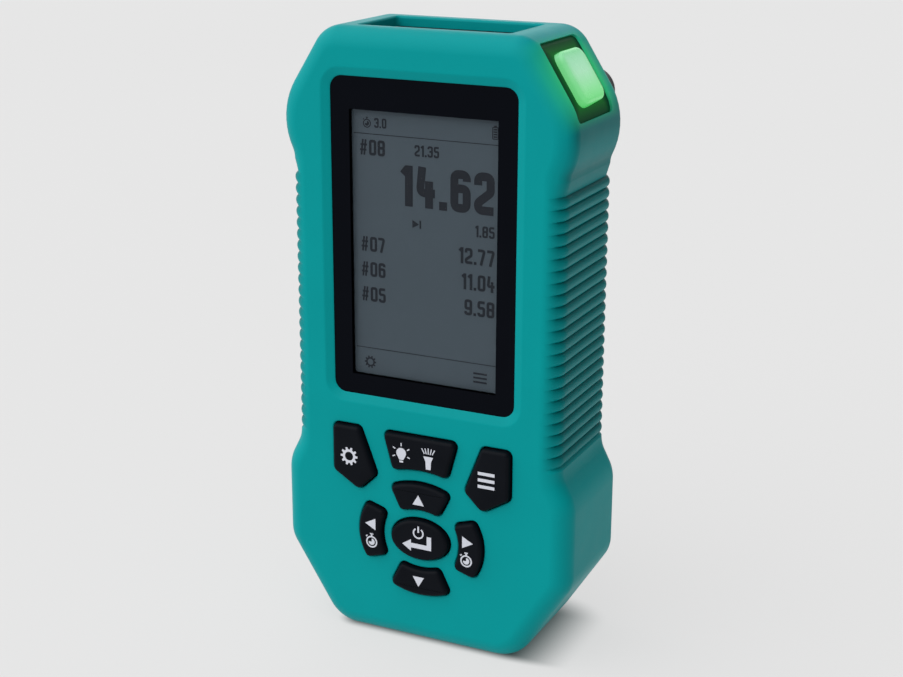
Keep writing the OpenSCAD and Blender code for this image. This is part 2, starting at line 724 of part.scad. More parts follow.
module rear_case() color([0.05, 0.05, 0.06]) difference() {
    union() {
        difference() {
            loft([for (d = [case_in, case_in, case_in + case_chamfer]) body_outline(d)],
                [at_depth(split_depth + seal_t), at_depth(back_face - case_chamfer), at_depth(back_face)],
                true);
            plate(body_outline(case_in + case_wall), at_depth(split_depth), at_depth(back_face - case_wall));
        }
        plate(body_outline(rear_rim + seat_gap), at_depth(back_face - case_wall), panel_y);
        block([-bay_half_w - bay_wall, bay_floor_y - bay_wall, bay_low_z - bay_wall],
            [bay_half_w + bay_wall, at_depth(back_face - case_wall), bay_high_z + bay_wall]);
        lanyard_post();
        for (x = [-1, 1])
            bar_y(x*clip_screw_x, clip_screw_z, clip_boss_r, clip_screw_end - screw_room, panel_y);
    }
    bay_door_x = door_half_w + door_gap;
    pin_x = door_half_w + hinge_pin_len + door_gap;
    block([-bay_half_w, bay_floor_y, bay_low_z], [bay_half_w, panel_y + past, bay_high_z]);
    block([-bay_door_x, door_face_in - seat_gap, hinge_z],
        [bay_door_x, panel_y + past, door_high_z + door_gap]);
    bar_x(hinge_y, hinge_z, hinge_r + door_gap, -bay_door_x, bay_door_x);
    block([-bay_door_x, hinge_y, hinge_z - hinge_r - door_gap], [bay_door_x, panel_y + past, hinge_z]);
    bar_x(hinge_y, hinge_z, hinge_pin_r + run_gap, -pin_x, pin_x);
    bar_y(0, door_high_z, nail_r, panel_y - nail_depth, panel_y + past);
    for (spot = case_screw_spots) {
        bar_y(spot.x, spot.y, case_screw_r + screw_gap, at_depth(split_depth), back_y);
        bar_y(spot.x, spot.y, case_head_r + screw_gap, case_head_y, back_y);
    }
    for (x = [-1, 1])
        bar_y(x*clip_screw_x, clip_screw_z, clip_screw_r + screw_gap,
            clip_screw_end - seat_gap, panel_y + past);
}

// A round post with a cross hole for a lanyard
module lanyard_post() {
    low = at_depth(back_face - case_wall);
    difference() {
        translate([post_x, low, post_z]) rotate([-90, 0, 0]) rotate_extrude() union() {
            square([post_r - post_round, post_y - low]);
            square([post_r, post_y - low - post_round]);
            translate([post_r - post_round, post_y - low - post_round]) circle(post_round);
        }
        bar_x(lanyard_y, post_z, lanyard_r, post_x - post_r - past, post_x + post_r + past);
    }
}

module case_seal() color([0.12, 0.12, 0.12]) difference() {
    margin = (case_wall - seal_w)/2;
    plate(body_outline(case_in + margin), at_depth(split_depth), at_depth(split_depth + seal_t));
    plate(body_outline(case_in + margin + seal_w),
        at_depth(split_depth) - past, at_depth(split_depth + seal_t) + past);
}

module case_screws() color([0.6, 0.6, 0.62]) for (spot = case_screw_spots) {
    bar_y(spot.x, spot.y, case_screw_r, case_screw_end, case_head_y);
    difference() {
        bar_y(spot.x, spot.y, case_head_r, case_head_y, case_head_y + case_head_h);
        for (turn = [0, 90]) translate([spot.x, case_head_y + case_head_h, spot.y]) rotate([0, turn, 0])
            cube([1.2*case_head_r, case_head_h, 0.3*case_head_r], center = true);
    }
}

module screen_lens() color([0.1, 0.11, 0.13, 0.6])
    plate(lens_outline, at_depth(lens_depth), at_depth(lens_depth + lens_t));

module lens_gasket() color([0.03, 0.03, 0.04]) difference() {
    plate(lens_outline, at_depth(lens_depth + lens_t), at_depth(case_face));
    plate(box_outline(view_w, view_h, lcd_z, 0.6), at_depth(lens_depth), at_depth(case_face + past));
}

module lcd_panel() color([0.29, 0.33, 0.36])
    plate(box_outline(lcd_w, lcd_h, lcd_z, lcd_r), at_depth(lcd_face), at_depth(lcd_face + lcd_t));

module backlight_panel() color([0.85, 0.87, 0.88])
    plate(box_outline(lcd_w, lcd_h, lcd_z, lcd_r, light_edge),
        at_depth(lcd_face + lcd_t), at_depth(light_back));

module display_frame() color([0.75, 0.75, 0.72]) difference() {
    plate(box_outline(lcd_w, lcd_h, lcd_z, lcd_r, -display_rim), at_depth(light_back), at_depth(board_face));
    plate(box_outline(lcd_w, lcd_h, lcd_z, 1, display_bar), at_depth(lcd_face), at_depth(board_face + past));
}

module main_board() color([0.05, 0.3, 0.15]) difference() {
    plate(box_outline(board_w, board_high_z - board_low_z, (board_high_z + board_low_z)/2, board_r),
        at_depth(board_face), at_depth(board_face + board_t));
    for (x = [-1, 1], z = board_screw_zs)
        bar_y(x*board_screw_x, z, board_screw_r + screw_gap,
            at_depth(board_face - past), at_depth(board_face + board_t + past));
}

module board_screws() color([0.6, 0.6, 0.62]) for (x = [-1, 1], z = board_screw_zs) {
    board_back = at_depth(board_face + board_t);
    bar_y(x*board_screw_x, z, board_screw_r, at_depth(inner_face) + 2*screw_room, board_back);
    bar_y(x*board_screw_x, z, board_head_r, board_back, board_back + board_head_h);
}

module keypad_mat() color([0.2, 0.2, 0.21]) difference() {
    low = at_depth(board_face - mat_t);
    high = at_depth(board_face);
    plate(box_outline(board_w, mat_high_z - mat_low_z, (mat_high_z + mat_low_z)/2, mat_r), low, high);
    for (spot = key_spots) bar_y(spot.x, spot.y, dome_hole_r, low - past, high + past);
    for (x = [-1, 1], z = board_screw_zs)
        bar_y(x*board_screw_x, z, board_post_r + seat_gap, low - past, high + past);
}

module snap_domes() color([0.8, 0.78, 0.7]) for (spot = key_spots)
    bar_y(spot.x, spot.y, dome_r, at_depth(board_face - dome_h), at_depth(board_face));

// A key: rounded cap, flange behind the case wall and plunger over its dome
module key(i) color([0.07, 0.08, 0.1]) {
    flange_y = at_depth(inner_face + seat_gap);
    top_y = at_depth(-key_proud);
    spot = key_spots[i];
    cap = [for (d = [key_round, key_round*0.3, 0, 0]) key_outline(i, d)];
    loft(concat(cap, [flange_outline(i), flange_outline(i)]),
        [top_y, top_y + key_round*0.3, top_y + key_round, flange_y, flange_y, flange_y + flange_t]);
    bar_y(spot.x, spot.y, plunger_r, flange_y + flange_t/2, flange_y + flange_t + plunger_len);
}

module key_settings() key(0);
module key_light() key(1);
module key_menu() key(2);
module key_up() key(3);
module key_down() key(4);
module key_left() key(5);
module key_right() key(6);
module key_enter() key(7);

// The dark frame round the start button, from the case out to just under the sleeve's face
module start_frame() color([0.1, 0.26, 0.16]) difference() {
    union() {
        intersection() {
            on_slant() slant_block(start_win_s - 2*seat_gap, start_win_y - 2*seat_gap,
                start_win_r - seat_gap, -2*case_in, past);
            difference() {
                plate(body_outline(start_sink), -back_y, back_y);
                plate(body_outline(case_in), -back_y - past, back_y + past);
            }
        }
        on_slant() slant_block(start_neck_s - 2*seat_gap, start_neck_y - 2*seat_gap,
            start_corner_r - seat_gap, start_neck_end, -case_in + seat_gap);
    }
    on_slant() slant_block(start_s + 2*start_hole_gap, start_y + 2*start_hole_gap, start_corner_r,
        start_neck_end - past, 2*past);
}

module start_button() color([0.5, 0.95, 0.6]) on_slant() {
    start_cap();
    slant_block(start_s + 2*start_flange_w, start_y + 2*start_flange_w, start_corner_r,
        start_flange_end, start_flange_end + start_flange_t);
    translate([0, 0, start_stem_end]) cylinder(h = start_stem_h, r = start_stem_r);
}

// The button's cap, standing on its flange, with a rounded top edge
module start_cap() {
    insets = [0, 0, start_round*0.3, start_round];
    tops = [for (d = [start_round, start_round*0.3, 0]) start_proud - d];
    places = concat([start_flange_end + start_flange_t], tops);
    rotate([-90, 0, 0]) mirror([0, 1, 0])
        loft([for (d = insets) box_outline(start_s, start_y, 0, start_corner_r, d)], places);
}

module start_board() color([0.05, 0.3, 0.15]) on_slant()
    slant_block(start_board_s, start_board_y, start_board_r,
        start_board_top - start_board_t, start_board_top);

module start_switch() color([0.75, 0.75, 0.75]) on_slant() {
    slant_block(switch_w, switch_w, 0.5, start_board_top, start_switch_top - switch_dot_h);
    translate([0, 0, start_switch_top - switch_dot_h]) cylinder(h = switch_dot_h, r = switch_dot_r);
}

module start_lamps() color([0.9, 0.95, 0.85]) on_slant() for (s = [-1, 1])
    translate([0, s*lamp_y, start_board_top]) slant_block(1.6, 0.9, 0.2, 0, 0.7);

module top_panel() color([0.05, 0.05, 0.06]) difference() {
    union() {
        block([-top_panel_w/2, top_recess_y - top_panel_d/2, case_top_z - top_panel_t],
            [top_panel_w/2, top_recess_y + top_panel_d/2, case_top_z]);
        block([-top_panel_w/2 + top_ledge, top_recess_y - top_panel_d/2 + top_ledge, top_neck_z],
            [top_panel_w/2 - top_ledge, top_recess_y + top_panel_d/2 - top_ledge, case_top_z - top_panel_t]);
    }
    for (k = [0:slot_count - 1]) let(x = buzzer_x + (k - (slot_count - 1)/2)*slot_pitch)
        translate([x, top_recess_y, body_h])
            cube([slot_w, slot_len, 4*case_in + 2*top_neck_t], center = true);
    translate([torch_x, top_recess_y, top_neck_z - past]) cylinder(h = body_h, r = torch_r + seat_gap);
    translate([microphone_x, top_recess_y, top_neck_z - past]) cylinder(h = body_h, r = sound_r);
}

module buzzer() color([0.09, 0.09, 0.1]) translate([buzzer_x, top_recess_y, top_neck_z]) difference() {
    translate([0, 0, -buzzer_h]) cylinder(h = buzzer_h, r = buzzer_r);
    translate([0, 0, -buzzer_port]) cylinder(h = 2*buzzer_port, r = buzzer_port);
}

module microphone() color([0.7, 0.68, 0.6])
    translate([microphone_x, top_recess_y, top_neck_z - microphone_h])
        cylinder(h = microphone_h, r = microphone_r);

// Torch lens: a flange under the panel and a domed barrel through it
module torch_lens() color([0.9, 0.93, 0.95, 0.5]) translate([torch_x, top_recess_y, torch_z]) {
    dome_drop = 0.5;
    barrel = case_top_z - top_neck_z + torch_flange_t;
    dome_rad = (torch_r*torch_r + dome_drop*dome_drop)/(2*dome_drop);
    cylinder(h = torch_flange_t, r = torch_r + torch_flange_w);
    intersection() {
        cylinder(h = barrel, r = torch_r);
        translate([0, 0, barrel - dome_rad]) sphere(dome_rad, $fn = 96);
    }
}

module torch_lamp() color([0.95, 0.9, 0.6]) translate([torch_x, top_recess_y, torch_z]) {
    translate([0, 0, -lamp_board_t - lamp_h]) cylinder(h = lamp_board_t, r = torch_r + torch_flange_w);
    translate([0, 0, -lamp_h]) cylinder(h = lamp_h, r = lamp_r);
}

// Two cells, one each way up
module aa_cells() color([0.75, 0.76, 0.78]) for (s = [-1, 1])
    translate([s*cell_pitch/2, cell_y, bay_low_z + bay_len/2]) rotate([s > 0 ? 180 : 0, 0, 0]) cell();

// One cell with its nub up, centred on the bay: the spring is at the flat end
module cell() {
    low = -bay_len/2 + plate_t + spring_len + 2*seat_gap;
    translate([0, 0, low]) cylinder(h = cell_len - cell_nub_h, r = cell_d/2);
    translate([0, 0, low + cell_len - cell_nub_h]) cylinder(h = cell_nub_h, r = cell_nub_r);
}

module cell_plates() color([0.8, 0.8, 0.75]) for (x = [-1, 1], z = [bay_low_z, bay_high_z - plate_t])
    translate([x*cell_pitch/2, cell_y, z + plate_t/2]) cube([plate_w, plate_w, plate_t], center = true);

// A conical contact spring under the flat end of each cell
module cell_springs() color([0.85, 0.85, 0.82]) for (s = [-1, 1])
    translate([s*cell_pitch/2, cell_y, bay_low_z + bay_len/2]) rotate([s > 0 ? 180 : 0, 0, 0])
        translate([0, 0, -bay_len/2 + plate_t]) cone_spring();

module cone_spring() {
    wire_r = 0.3;
    turns = 4;
    low_r = 4.6;
    high_r = 2.6;
    steps = 10*turns;
    rows = [for (k = [0:steps]) let(share = k/steps, a = 360*turns*share, r = low_r + (high_r - low_r)*share)
        [wire_r + seat_gap + share*(spring_len - 2*wire_r - seat_gap), r*cos(a), r*sin(a), a]];
    rotate([0, -90, 0]) wire(rows, wire_r);
}

// The battery door: a plate on a hinge barrel with stub pins, and a finger dish near its upper edge
module battery_door() color([0.06, 0.06, 0.07]) difference() {
    union() {
        block([-door_half_w, door_face_in, hinge_z], [door_half_w, panel_y, door_high_z]);
        bar_x(hinge_y, hinge_z, hinge_r, -door_half_w, door_half_w);
        bar_x(hinge_y, hinge_z, hinge_pin_r, -door_half_w - hinge_pin_len, door_half_w + hinge_pin_len);
    }
    translate([0, panel_y + dish_r - dish_depth, door_high_z - dish_drop]) sphere(dish_r, $fn = 64);
    for (k = [0:groove_count - 1]) let(z = door_high_z - 2.6*dish_drop - k*groove_pitch)
        block([-groove_w/2, panel_y - groove_depth, z], [groove_w/2, panel_y + past, z + groove_pitch/2]);
}

module clip_base() color([0.05, 0.05, 0.06]) difference() {
    union() {
        block([-clip_ear_out, panel_y, clip_z - clip_base_low],
            [clip_ear_out, panel_y + clip_base_t, clip_z + clip_base_high]);
        for (s = [-1, 1]) translate([s > 0 ? clip_ear_in : -clip_ear_out, 0, 0]) {
            bar_x(clip_y, clip_z, clip_ear_r, 0, clip_ear_t);
            block([0, panel_y, clip_z - clip_ear_r], [clip_ear_t, clip_y, clip_z + clip_ear_r]);
        }
    }
    bar_x(clip_y, clip_z, clip_pin_r, -clip_w, clip_w);
    for (x = [-1, 1])
        bar_y(x*clip_screw_x, clip_screw_z, clip_screw_r + screw_gap,
            panel_y - past, panel_y + 2*clip_base_t);
}

// Side view of the lever: a flat plate with a hooked nose at its lower end
lever_points = [
    [clip_plate_y, clip_z + clip_rise], [clip_plate_y + clip_t, clip_z + clip_rise],
    [clip_plate_y + clip_t, clip_z - clip_drop], [panel_y + clip_nose_gap, clip_z - clip_drop],
    [panel_y + clip_nose_gap, clip_z - clip_drop + clip_nose_h/2],
    [clip_plate_y, clip_z - clip_drop + clip_nose_h]
];
lever_radii = [0.9, 0.9, 3, 0.9, 0.9, 2];

module clip_lever() color([0.05, 0.05, 0.06]) difference() {
    union() {
        intersection() {
            translate([-clip_w/2, 0, 0]) rotate([90, 0, 90])
                linear_extrude(clip_w) polygon(rounded(lever_points, lever_radii));
            lever_z = clip_z + (clip_rise - clip_drop)/2;
            plate(box_outline(clip_w, clip_rise + clip_drop, lever_z, clip_corner_r), panel_y, 2*back_y);
        }
        for (s = [-1, 1]) translate([s > 0 ? clip_barrel_in : -clip_barrel_out, 0, 0]) {
            bar_x(clip_y, clip_z, clip_barrel_r, 0, clip_barrel_out - clip_barrel_in);
            block([0, clip_y, clip_z - clip_barrel_r],
                [clip_barrel_out - clip_barrel_in, clip_plate_y + clip_t/2, clip_z + clip_barrel_r]);
        }
    }
    bar_x(clip_y, clip_z, clip_pin_r + run_gap, -clip_w, clip_w);
}

module clip_pin() color([0.65, 0.66, 0.68])
    bar_x(clip_y, clip_z, clip_pin_r, -clip_ear_out, clip_ear_out);

// A torsion spring round the pin, with one leg along the base and one along the lever
module clip_spring() color([0.6, 0.6, 0.62]) {
    steps = 8*clip_turns;
    half = clip_barrel_in - clip_wire_r - clip_side_gap;
    coil = [for (k = [0:steps]) let(a = 360*clip_turns*k/steps)
        [half - 2*half*k/steps, clip_y + clip_spring_r*cos(a), clip_z + clip_spring_r*sin(a), a]];
    lever_leg = [[half, clip_y + clip_spring_r, clip_z - clip_leg, 0]];
    base_leg = [[-half, clip_y - clip_spring_r, clip_z - clip_leg, 360*clip_turns]];
    wire(concat(lever_leg, coil, base_leg), clip_wire_r);
}

module clip_screws() color([0.6, 0.6, 0.62]) for (x = [-1, 1]) {
    head_y = panel_y + clip_base_t;
    bar_y(x*clip_screw_x, clip_screw_z, clip_screw_r, clip_screw_end, head_y);
    bar_y(x*clip_screw_x, clip_screw_z, clip_head_r, head_y, head_y + clip_head_h);
}

silicone_sleeve();
front_case();
rear_case();
case_seal();
case_screws();
screen_lens();
lens_gasket();
lcd_panel();
backlight_panel();
display_frame();
main_board();
board_screws();
keypad_mat();
snap_domes();
key_settings();
key_light();
key_menu();
key_up();
key_down();
key_left();
key_right();
key_enter();
start_frame();
start_button();
start_board();
start_switch();
start_lamps();
top_panel();
buzzer();
microphone();
torch_lamp();
torch_lens();
aa_cells();
cell_plates();
cell_springs();
battery_door();
clip_base();
clip_lever();
clip_pin();
clip_spring();
clip_screws();
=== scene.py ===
"""Looks of a hand-held shot timer in a ribbed silicone sleeve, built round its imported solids.

Sizes are in millimetres in the frame of the solids: X is width, the screen faces -Y and Z is up.
"""

import logging
import math
from dataclasses import dataclass, field
from enum import Enum
from typing import Any, Callable, Iterable, Sequence

import bmesh
import bpy
from mathutils import Matrix, Vector


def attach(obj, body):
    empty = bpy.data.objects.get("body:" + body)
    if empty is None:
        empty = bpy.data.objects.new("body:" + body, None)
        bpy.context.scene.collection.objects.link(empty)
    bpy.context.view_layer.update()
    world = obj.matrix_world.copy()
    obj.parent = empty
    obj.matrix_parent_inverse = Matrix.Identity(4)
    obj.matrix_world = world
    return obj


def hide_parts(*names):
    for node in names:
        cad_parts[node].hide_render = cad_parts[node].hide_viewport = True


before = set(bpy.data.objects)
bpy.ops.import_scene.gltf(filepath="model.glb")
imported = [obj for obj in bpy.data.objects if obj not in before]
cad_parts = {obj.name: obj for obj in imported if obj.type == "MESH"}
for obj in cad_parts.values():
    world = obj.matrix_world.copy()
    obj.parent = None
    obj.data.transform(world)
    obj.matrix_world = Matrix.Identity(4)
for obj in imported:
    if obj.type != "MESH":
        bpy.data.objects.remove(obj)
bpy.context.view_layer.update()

MM = 0.001
FRONT_Y = -15.4
BACK_Y = 15.4
SMOOTH_ANGLE = 32.0
FLAT_WEIGHT = 60
HAIR = 0.01
CAPSULE_STEPS = 6

LOG = logging.getLogger("shot_timer")

Pair = tuple[float, float]
Trio = tuple[float, float, float]
Color = Trio
Row = list[Vector]
Piece = bpy.types.Object
Place = Callable[[Vector, float], Vector]
Stroke = tuple[bool, tuple[Pair, ...]]


class Body(str, Enum):
    """The bodies that pieces ride on."""

    CASE = "case"
    START = "start"
    DOOR = "door"
    CLIP = "clip"

    def __str__(self) -> str:
        """The body's name."""
        return self.value


class Side(Enum):
    """The edge that a line of figures is set against."""

    LEFT = "LEFT"
    RIGHT = "RIGHT"


class Blend(Enum):
    """What a tool does to a piece."""

    CUT = "DIFFERENCE"
    FUSE = "UNION"


class Axis(Enum):
    """The axis that a plate stands along."""

    X = 0
    Y = 1
    Z = 2

    def place(self, point: Vector, height: float) -> Vector:
        """A point of an outline across the axis, at a height along it."""
        spot = list(point)
        return Vector(spot[:self.value] + [height] + spot[self.value:])


# Outlines


@dataclass(frozen=True)
class Outline:
    """A clockwise outline with a radius at each sharp corner.

    Attributes:
        corners: The sharp corners.
        radii: The radius at each corner; a radius of 0 keeps the point.
        steps: Segments in each rounded corner.
        least: The least radius that an inset may leave.
    """

    corners: tuple[Pair, ...]
    radii: tuple[float, ...]
    steps: int = 8
    least: float = 0.4

    def corner(self, index: int, inset: float) -> Row:
        """Points of one corner of the outline moved inwards.

        Args:
            index: Which corner.
            inset: How far the outline moves inwards.

        Returns:
            The points along the rounded corner.
        """
        here = Vector(self.corners[index])
        before = Vector(self.corners[index - 1])
        after = Vector(self.corners[(index + 1) % len(self.corners)])
        way_in = (here - before).normalized()
        way_out = (after - here).normalized()
        side_in = Vector((way_in.y, -way_in.x))
        side_out = Vector((way_out.y, -way_out.x))
        tip = here + inset * (side_in + side_out) / (1 + side_in.dot(side_out))
        if self.radii[index] == 0:
            return [tip]
        turn = math.atan2(way_in.x * way_out.y - way_in.y * way_out.x, way_in.dot(way_out))
        outward = turn < 0
        radius = max(self.radii[index] - inset, self.least) if outward else self.radii[index] + inset
        start = tip - way_in * radius * math.tan(abs(turn) / 2)
        centre = start + side_in * radius * (1 if outward else -1)
        arm = start - centre
        return [centre + Matrix.Rotation(turn * step / self.steps, 2) @ arm for step in range(self.steps + 1)]

    def points(self, inset: float = 0.0) -> Row:
        """The whole outline, moved inwards by inset."""
        return [point for index in range(len(self.corners)) for point in self.corner(index, inset)]

    def at(self, y: float, inset: float = 0.0) -> Row:
        """The outline, moved inwards by inset, as a row of points at a depth."""
        return [Axis.Y.place(point, y) for point in self.points(inset)]


def mirrored(points: Sequence[Pair]) -> list[Pair]:
    """The points on the other side of the middle, in clockwise order."""
    return [(-x, z) for x, z in reversed(points)]


def rounded_box(width: float, height: float, centre: Pair, radius: float, steps: int = 8) -> Outline:
    """A box outline with rounded corners.

    Args:
        width: Size across.
        height: Size up.
        centre: Its middle.
        radius: Radius of the corners.
        steps: Segments in each corner.

    Returns:
        The outline.
    """
    ways = ((1, 1), (1, -1), (-1, -1), (-1, 1))
    corners = tuple((centre[0] + x * width / 2, centre[1] + z * height / 2) for x, z in ways)
    return Outline(corners, (radius,) * 4, steps)


def round_outline(centre: Pair, radius: float, steps: int = 48) -> Outline:
    """A circle as an outline.

    Args:
        centre: Its middle.
        radius: Its radius.
        steps: How many sides it has.

    Returns:
        The outline.
    """
    angles = [-math.tau * step / steps for step in range(steps)]
    spots = [(centre[0] + radius * math.cos(a), centre[1] + radius * math.sin(a)) for a in angles]
    return Outline(tuple(spots), (0.0,) * steps)


def capsule(width: float, height: float, centre: Pair) -> Outline:
    """A slot with round ends."""
    return rounded_box(width, height, centre, min(width, height) / 2 - HAIR, CAPSULE_STEPS)


def brow(face: float, way: int, edge: float, steps: int = 5) -> list[Pair]:
    """Levels round the edge of a face.

    Args:
        face: Height of the face.
        way: 1 where the piece lies above the face, -1 where it lies below.
        edge: Radius of the edge, or 0 for a sharp one.
        steps: Segments round it.

    Returns:
        Height and inset of each ring, from the face on.
    """
    if not edge:
        return [(face, 0.0)]
    angles = [math.pi / 2 * step / steps for step in range(steps + 1)]
    return [(face + way * edge * (1 - math.cos(a)), edge * (1 - math.sin(a))) for a in angles]


def mouth(face: float, end: float, edge: float, steps: int, past: float, grow: float = 0.0) -> list[Pair]:
    """Levels of a tool for a hole with a rounded mouth; a mouth of one step is bevelled.

    Args:
        face: Height of the face that it opens.
        end: Height of its far end.
        edge: Radius of the mouth.
        steps: Segments round the mouth.
        past: How far it starts outside the face.
        grow: How much wider it is than its outline.

    Returns:
        Height and inset of each ring, from the outside.
    """
    way = 1 if end > face else -1
    bend = [(height, -grow - inset) for height, inset in brow(face, way, edge, steps)]
    return [(face - way * past, -grow - edge), *bend, (end, -grow)]


# Modelling


def pick(*pieces: Piece) -> None:
    """Leaves only these pieces selected, the first of them active.

    Args:
        pieces: The pieces, or none.
    """
    bpy.ops.object.select_all(action="DESELECT")
    for piece in pieces:
        piece.select_set(True)
    if pieces:
        bpy.context.view_layer.objects.active = pieces[0]


def move_ring(piece: Piece, row: Row) -> None:
    """Moves the selected ring of points onto a row.

    Args:
        piece: The piece, in edit mode.
        row: Where the points go.
    """
    mesh = bmesh.from_edit_mesh(piece.data)
    spot = mesh.verts.layers.int["spot"]
    for vert in mesh.verts:
        if vert.select:
            vert.co = row[vert[spot]] * MM
    bmesh.update_edit_mesh(piece.data)


def start_disc(name: str, row: Row) -> Piece:
    """A flat face with its corners on a row.

    Args:
        name: Name of the piece.
        row: The corners.

    Returns:
        The piece, left in edit mode.
    """
    pick()
    bpy.ops.mesh.primitive_circle_add(vertices=len(row), radius=MM, fill_type="NGON")
    piece = bpy.context.active_object
    piece.name = piece.data.name = name
    bpy.ops.object.mode_set(mode="EDIT")
    mesh = bmesh.from_edit_mesh(piece.data)
    spot = mesh.verts.layers.int.new("spot")
    mesh.verts.ensure_lookup_table()
    for index, vert in enumerate(mesh.verts):
        vert[spot] = index
    move_ring(piece, row)
    return piece


def close_shell(piece: Piece) -> Piece:
    """Turns the faces outwards and leaves edit mode.

    Args:
        piece: The piece, in edit mode.

    Returns:
        The same piece.
    """
    bpy.ops.mesh.select_all(action="SELECT")
    bpy.ops.mesh.normals_make_consistent(inside=False)
    bpy.ops.object.mode_set(mode="OBJECT")
    piece.data.attributes.remove(piece.data.attributes["spot"])
    return piece


def loft(name: str, rows: Sequence[Row]) -> Piece:
    """Extrudes a face through rows of points into a closed shell.

    Args:
        name: Name of the piece.
        rows: Rings of points of equal length, from one end to the other.

    Returns:
        The closed piece, at the origin.
    """
    piece = start_disc(name, rows[0])
    for row in rows[1:]:
        bpy.ops.mesh.extrude_region_move()
        move_ring(piece, row)
    return close_shell(piece)


def stack(name: str, outline: Outline, levels: Iterable[Pair], place: Place = Axis.Y.place) -> Piece:
    """A closed piece through one outline at several levels.

    Args:
        name: Name of the piece.
        outline: The outline.
        levels: Height and inset of each ring, from one end to the other.
        place: Puts a point of the outline at a height.

    Returns:
        The closed piece.
    """
    return loft(name, [[place(point, height) for point in outline.points(inset)] for height, inset in levels])


def slab(name: str, outline: Outline, span: Pair, edges: Pair, axis: Axis) -> Piece:
    """A plate with rounded edges.

    Args:
        name: Name of the piece.
        outline: Its outline across the axis.
        span: Where it begins and ends along the axis.
        edges: Radius of the edge at each end.
        axis: The axis that it stands along.

    Returns:
        The closed plate.
    """
    return stack(name, outline, brow(span[0], 1, edges[0]) + brow(span[1], -1, edges[1])[::-1], axis.place)


def ring_plate(name: str, outer: Row, inner: Row, thick: Vector) -> Piece:
    """A flat ring between two rows of points, extruded to a thickness.

    Args:
        name: Name of the piece.
        outer: Points round the outside.
        inner: As many points round the hole.
        thick: The way and distance of the extrusion.

    Returns:
        The closed ring.
    """
    piece = start_disc(name, outer)
    bpy.ops.mesh.extrude_region_move()
    move_ring(piece, inner)
    bpy.ops.mesh.delete(type="ONLY_FACE")
    mesh = bmesh.from_edit_mesh(piece.data)
    whole = [face for face in mesh.faces if len(face.verts) > 4]
    bmesh.ops.delete(mesh, geom=whole, context="FACES_ONLY")
    bmesh.update_edit_mesh(piece.data)
    bpy.ops.mesh.select_all(action="SELECT")
    bpy.ops.mesh.extrude_region_move(TRANSFORM_OT_translate={"value": thick * MM})
    return close_shell(piece)


def modify(piece: Piece, kind: str, **settings: Any) -> None:
    """Adds a modifier to a piece and applies it.

    Args:
        piece: The piece.
        kind: Type of the modifier.
        settings: Its settings.
    """
    pick(piece)
    modifier = piece.modifiers.new(kind.lower(), kind)
    for key, value in settings.items():
        setattr(modifier, key, value)
    bpy.ops.object.modifier_apply(modifier=modifier.name)


def combine(piece: Piece, tools: Iterable[Piece], blend: Blend = Blend.CUT) -> None:
    """Cuts closed tools out of a piece, or adds them to it, and removes the tools.

    Args:
        piece: The piece.
        tools: The tools.
        blend: What the tools do.
    """
    for tool in tools:
        modify(piece, "BOOLEAN", operation=blend.value, object=tool, solver="MANIFOLD")
        bpy.data.meshes.remove(tool.data)


def repeat(first: Piece, count: int, pitch: float) -> list[Piece]:
    """A piece and its copies below it, each with its own mesh, moved in edit mode.

    Args:
        first: The piece.
        count: How many there are in all.
        pitch: The step from one to the next.

    Returns:
        All of them.
    """
    pieces = [first]
    for index in range(1, count):
        pick(first)
        bpy.ops.object.duplicate(linked=False)
        pieces.append(bpy.context.active_object)
        bpy.ops.object.mode_set(mode="EDIT")
        bpy.ops.mesh.select_all(action="SELECT")
        bpy.ops.transform.translate(value=Vector((0, 0, -pitch * index)) * MM)
        bpy.ops.object.mode_set(mode="OBJECT")
    return pieces


def join(pieces: Sequence[Piece], name: str) -> Piece:
    """Joins pieces into one.

    Args:
        pieces: The pieces.
        name: Name of what they become.

    Returns:
        The joined piece.
    """
    pick(*pieces)
    if len(pieces) > 1:
        bpy.ops.object.join()
    pieces[0].name = pieces[0].data.name = name
    return pieces[0]


def smooth(piece: Piece) -> None:
    """Smooth shading up to an angle, with flat faces left flat beside round edges.

    Args:
        piece: The piece.
    """
    pick(piece)
    bpy.ops.object.shade_smooth_by_angle(angle=math.radians(SMOOTH_ANGLE))
    modify(piece, "WEIGHTED_NORMAL", keep_sharp=True, weight=FLAT_WEIGHT)


# Node trees


def math_node(operation: str, swapped: bool = False) -> Callable[..., "Value"]:
    """A method of Value that adds a Math node.

    Args:
        operation: What the node does.
        swapped: Whether the other value comes first.

    Returns:
        The method.
    """
    def method(self: "Value", other: Any = 0.0) -> "Value":
        """A Math node of this value and another."""
        first, second = (other, self) if swapped else (self, other)
        return self.board.node("ShaderNodeMath", {"operation": operation}, {0: first, 1: second})
    return method


class Value:
    """An output in a node tree; arithmetic on it adds Math nodes."""

    def __init__(self, board: "NodeBoard", socket: bpy.types.NodeSocket) -> None:
        """Keeps the socket and the board that it is on."""
        self.board = board
        self.socket = socket

    __add__ = __radd__ = math_node("ADD")
    __sub__ = math_node("SUBTRACT")
    __rsub__ = math_node("SUBTRACT", swapped=True)
    __mul__ = __rmul__ = math_node("MULTIPLY")
    __truediv__ = math_node("DIVIDE")
    __lt__ = math_node("LESS_THAN")
    __gt__ = math_node("GREATER_THAN")
    __abs__ = math_node("ABSOLUTE")
    fract = math_node("FRACT")
    highest = math_node("MAXIMUM")
    lowest = math_node("MINIMUM")

    def ramp(self, start: float, end: float) -> "Value":
        """0 up to start, 1 from end on and even between."""
        return ((self - start) / (end - start)).highest(0.0).lowest(1.0)

    def near(self, reach: float) -> "Value":
        """1 where this distance is 0, falling to 0 at a reach."""
        return (1 - self / reach).highest(0.0)

    def spread(self, low: float, high: float) -> "Value":
        """This value from 0 to 1, spread from low to high."""
        return self * (high - low) + low


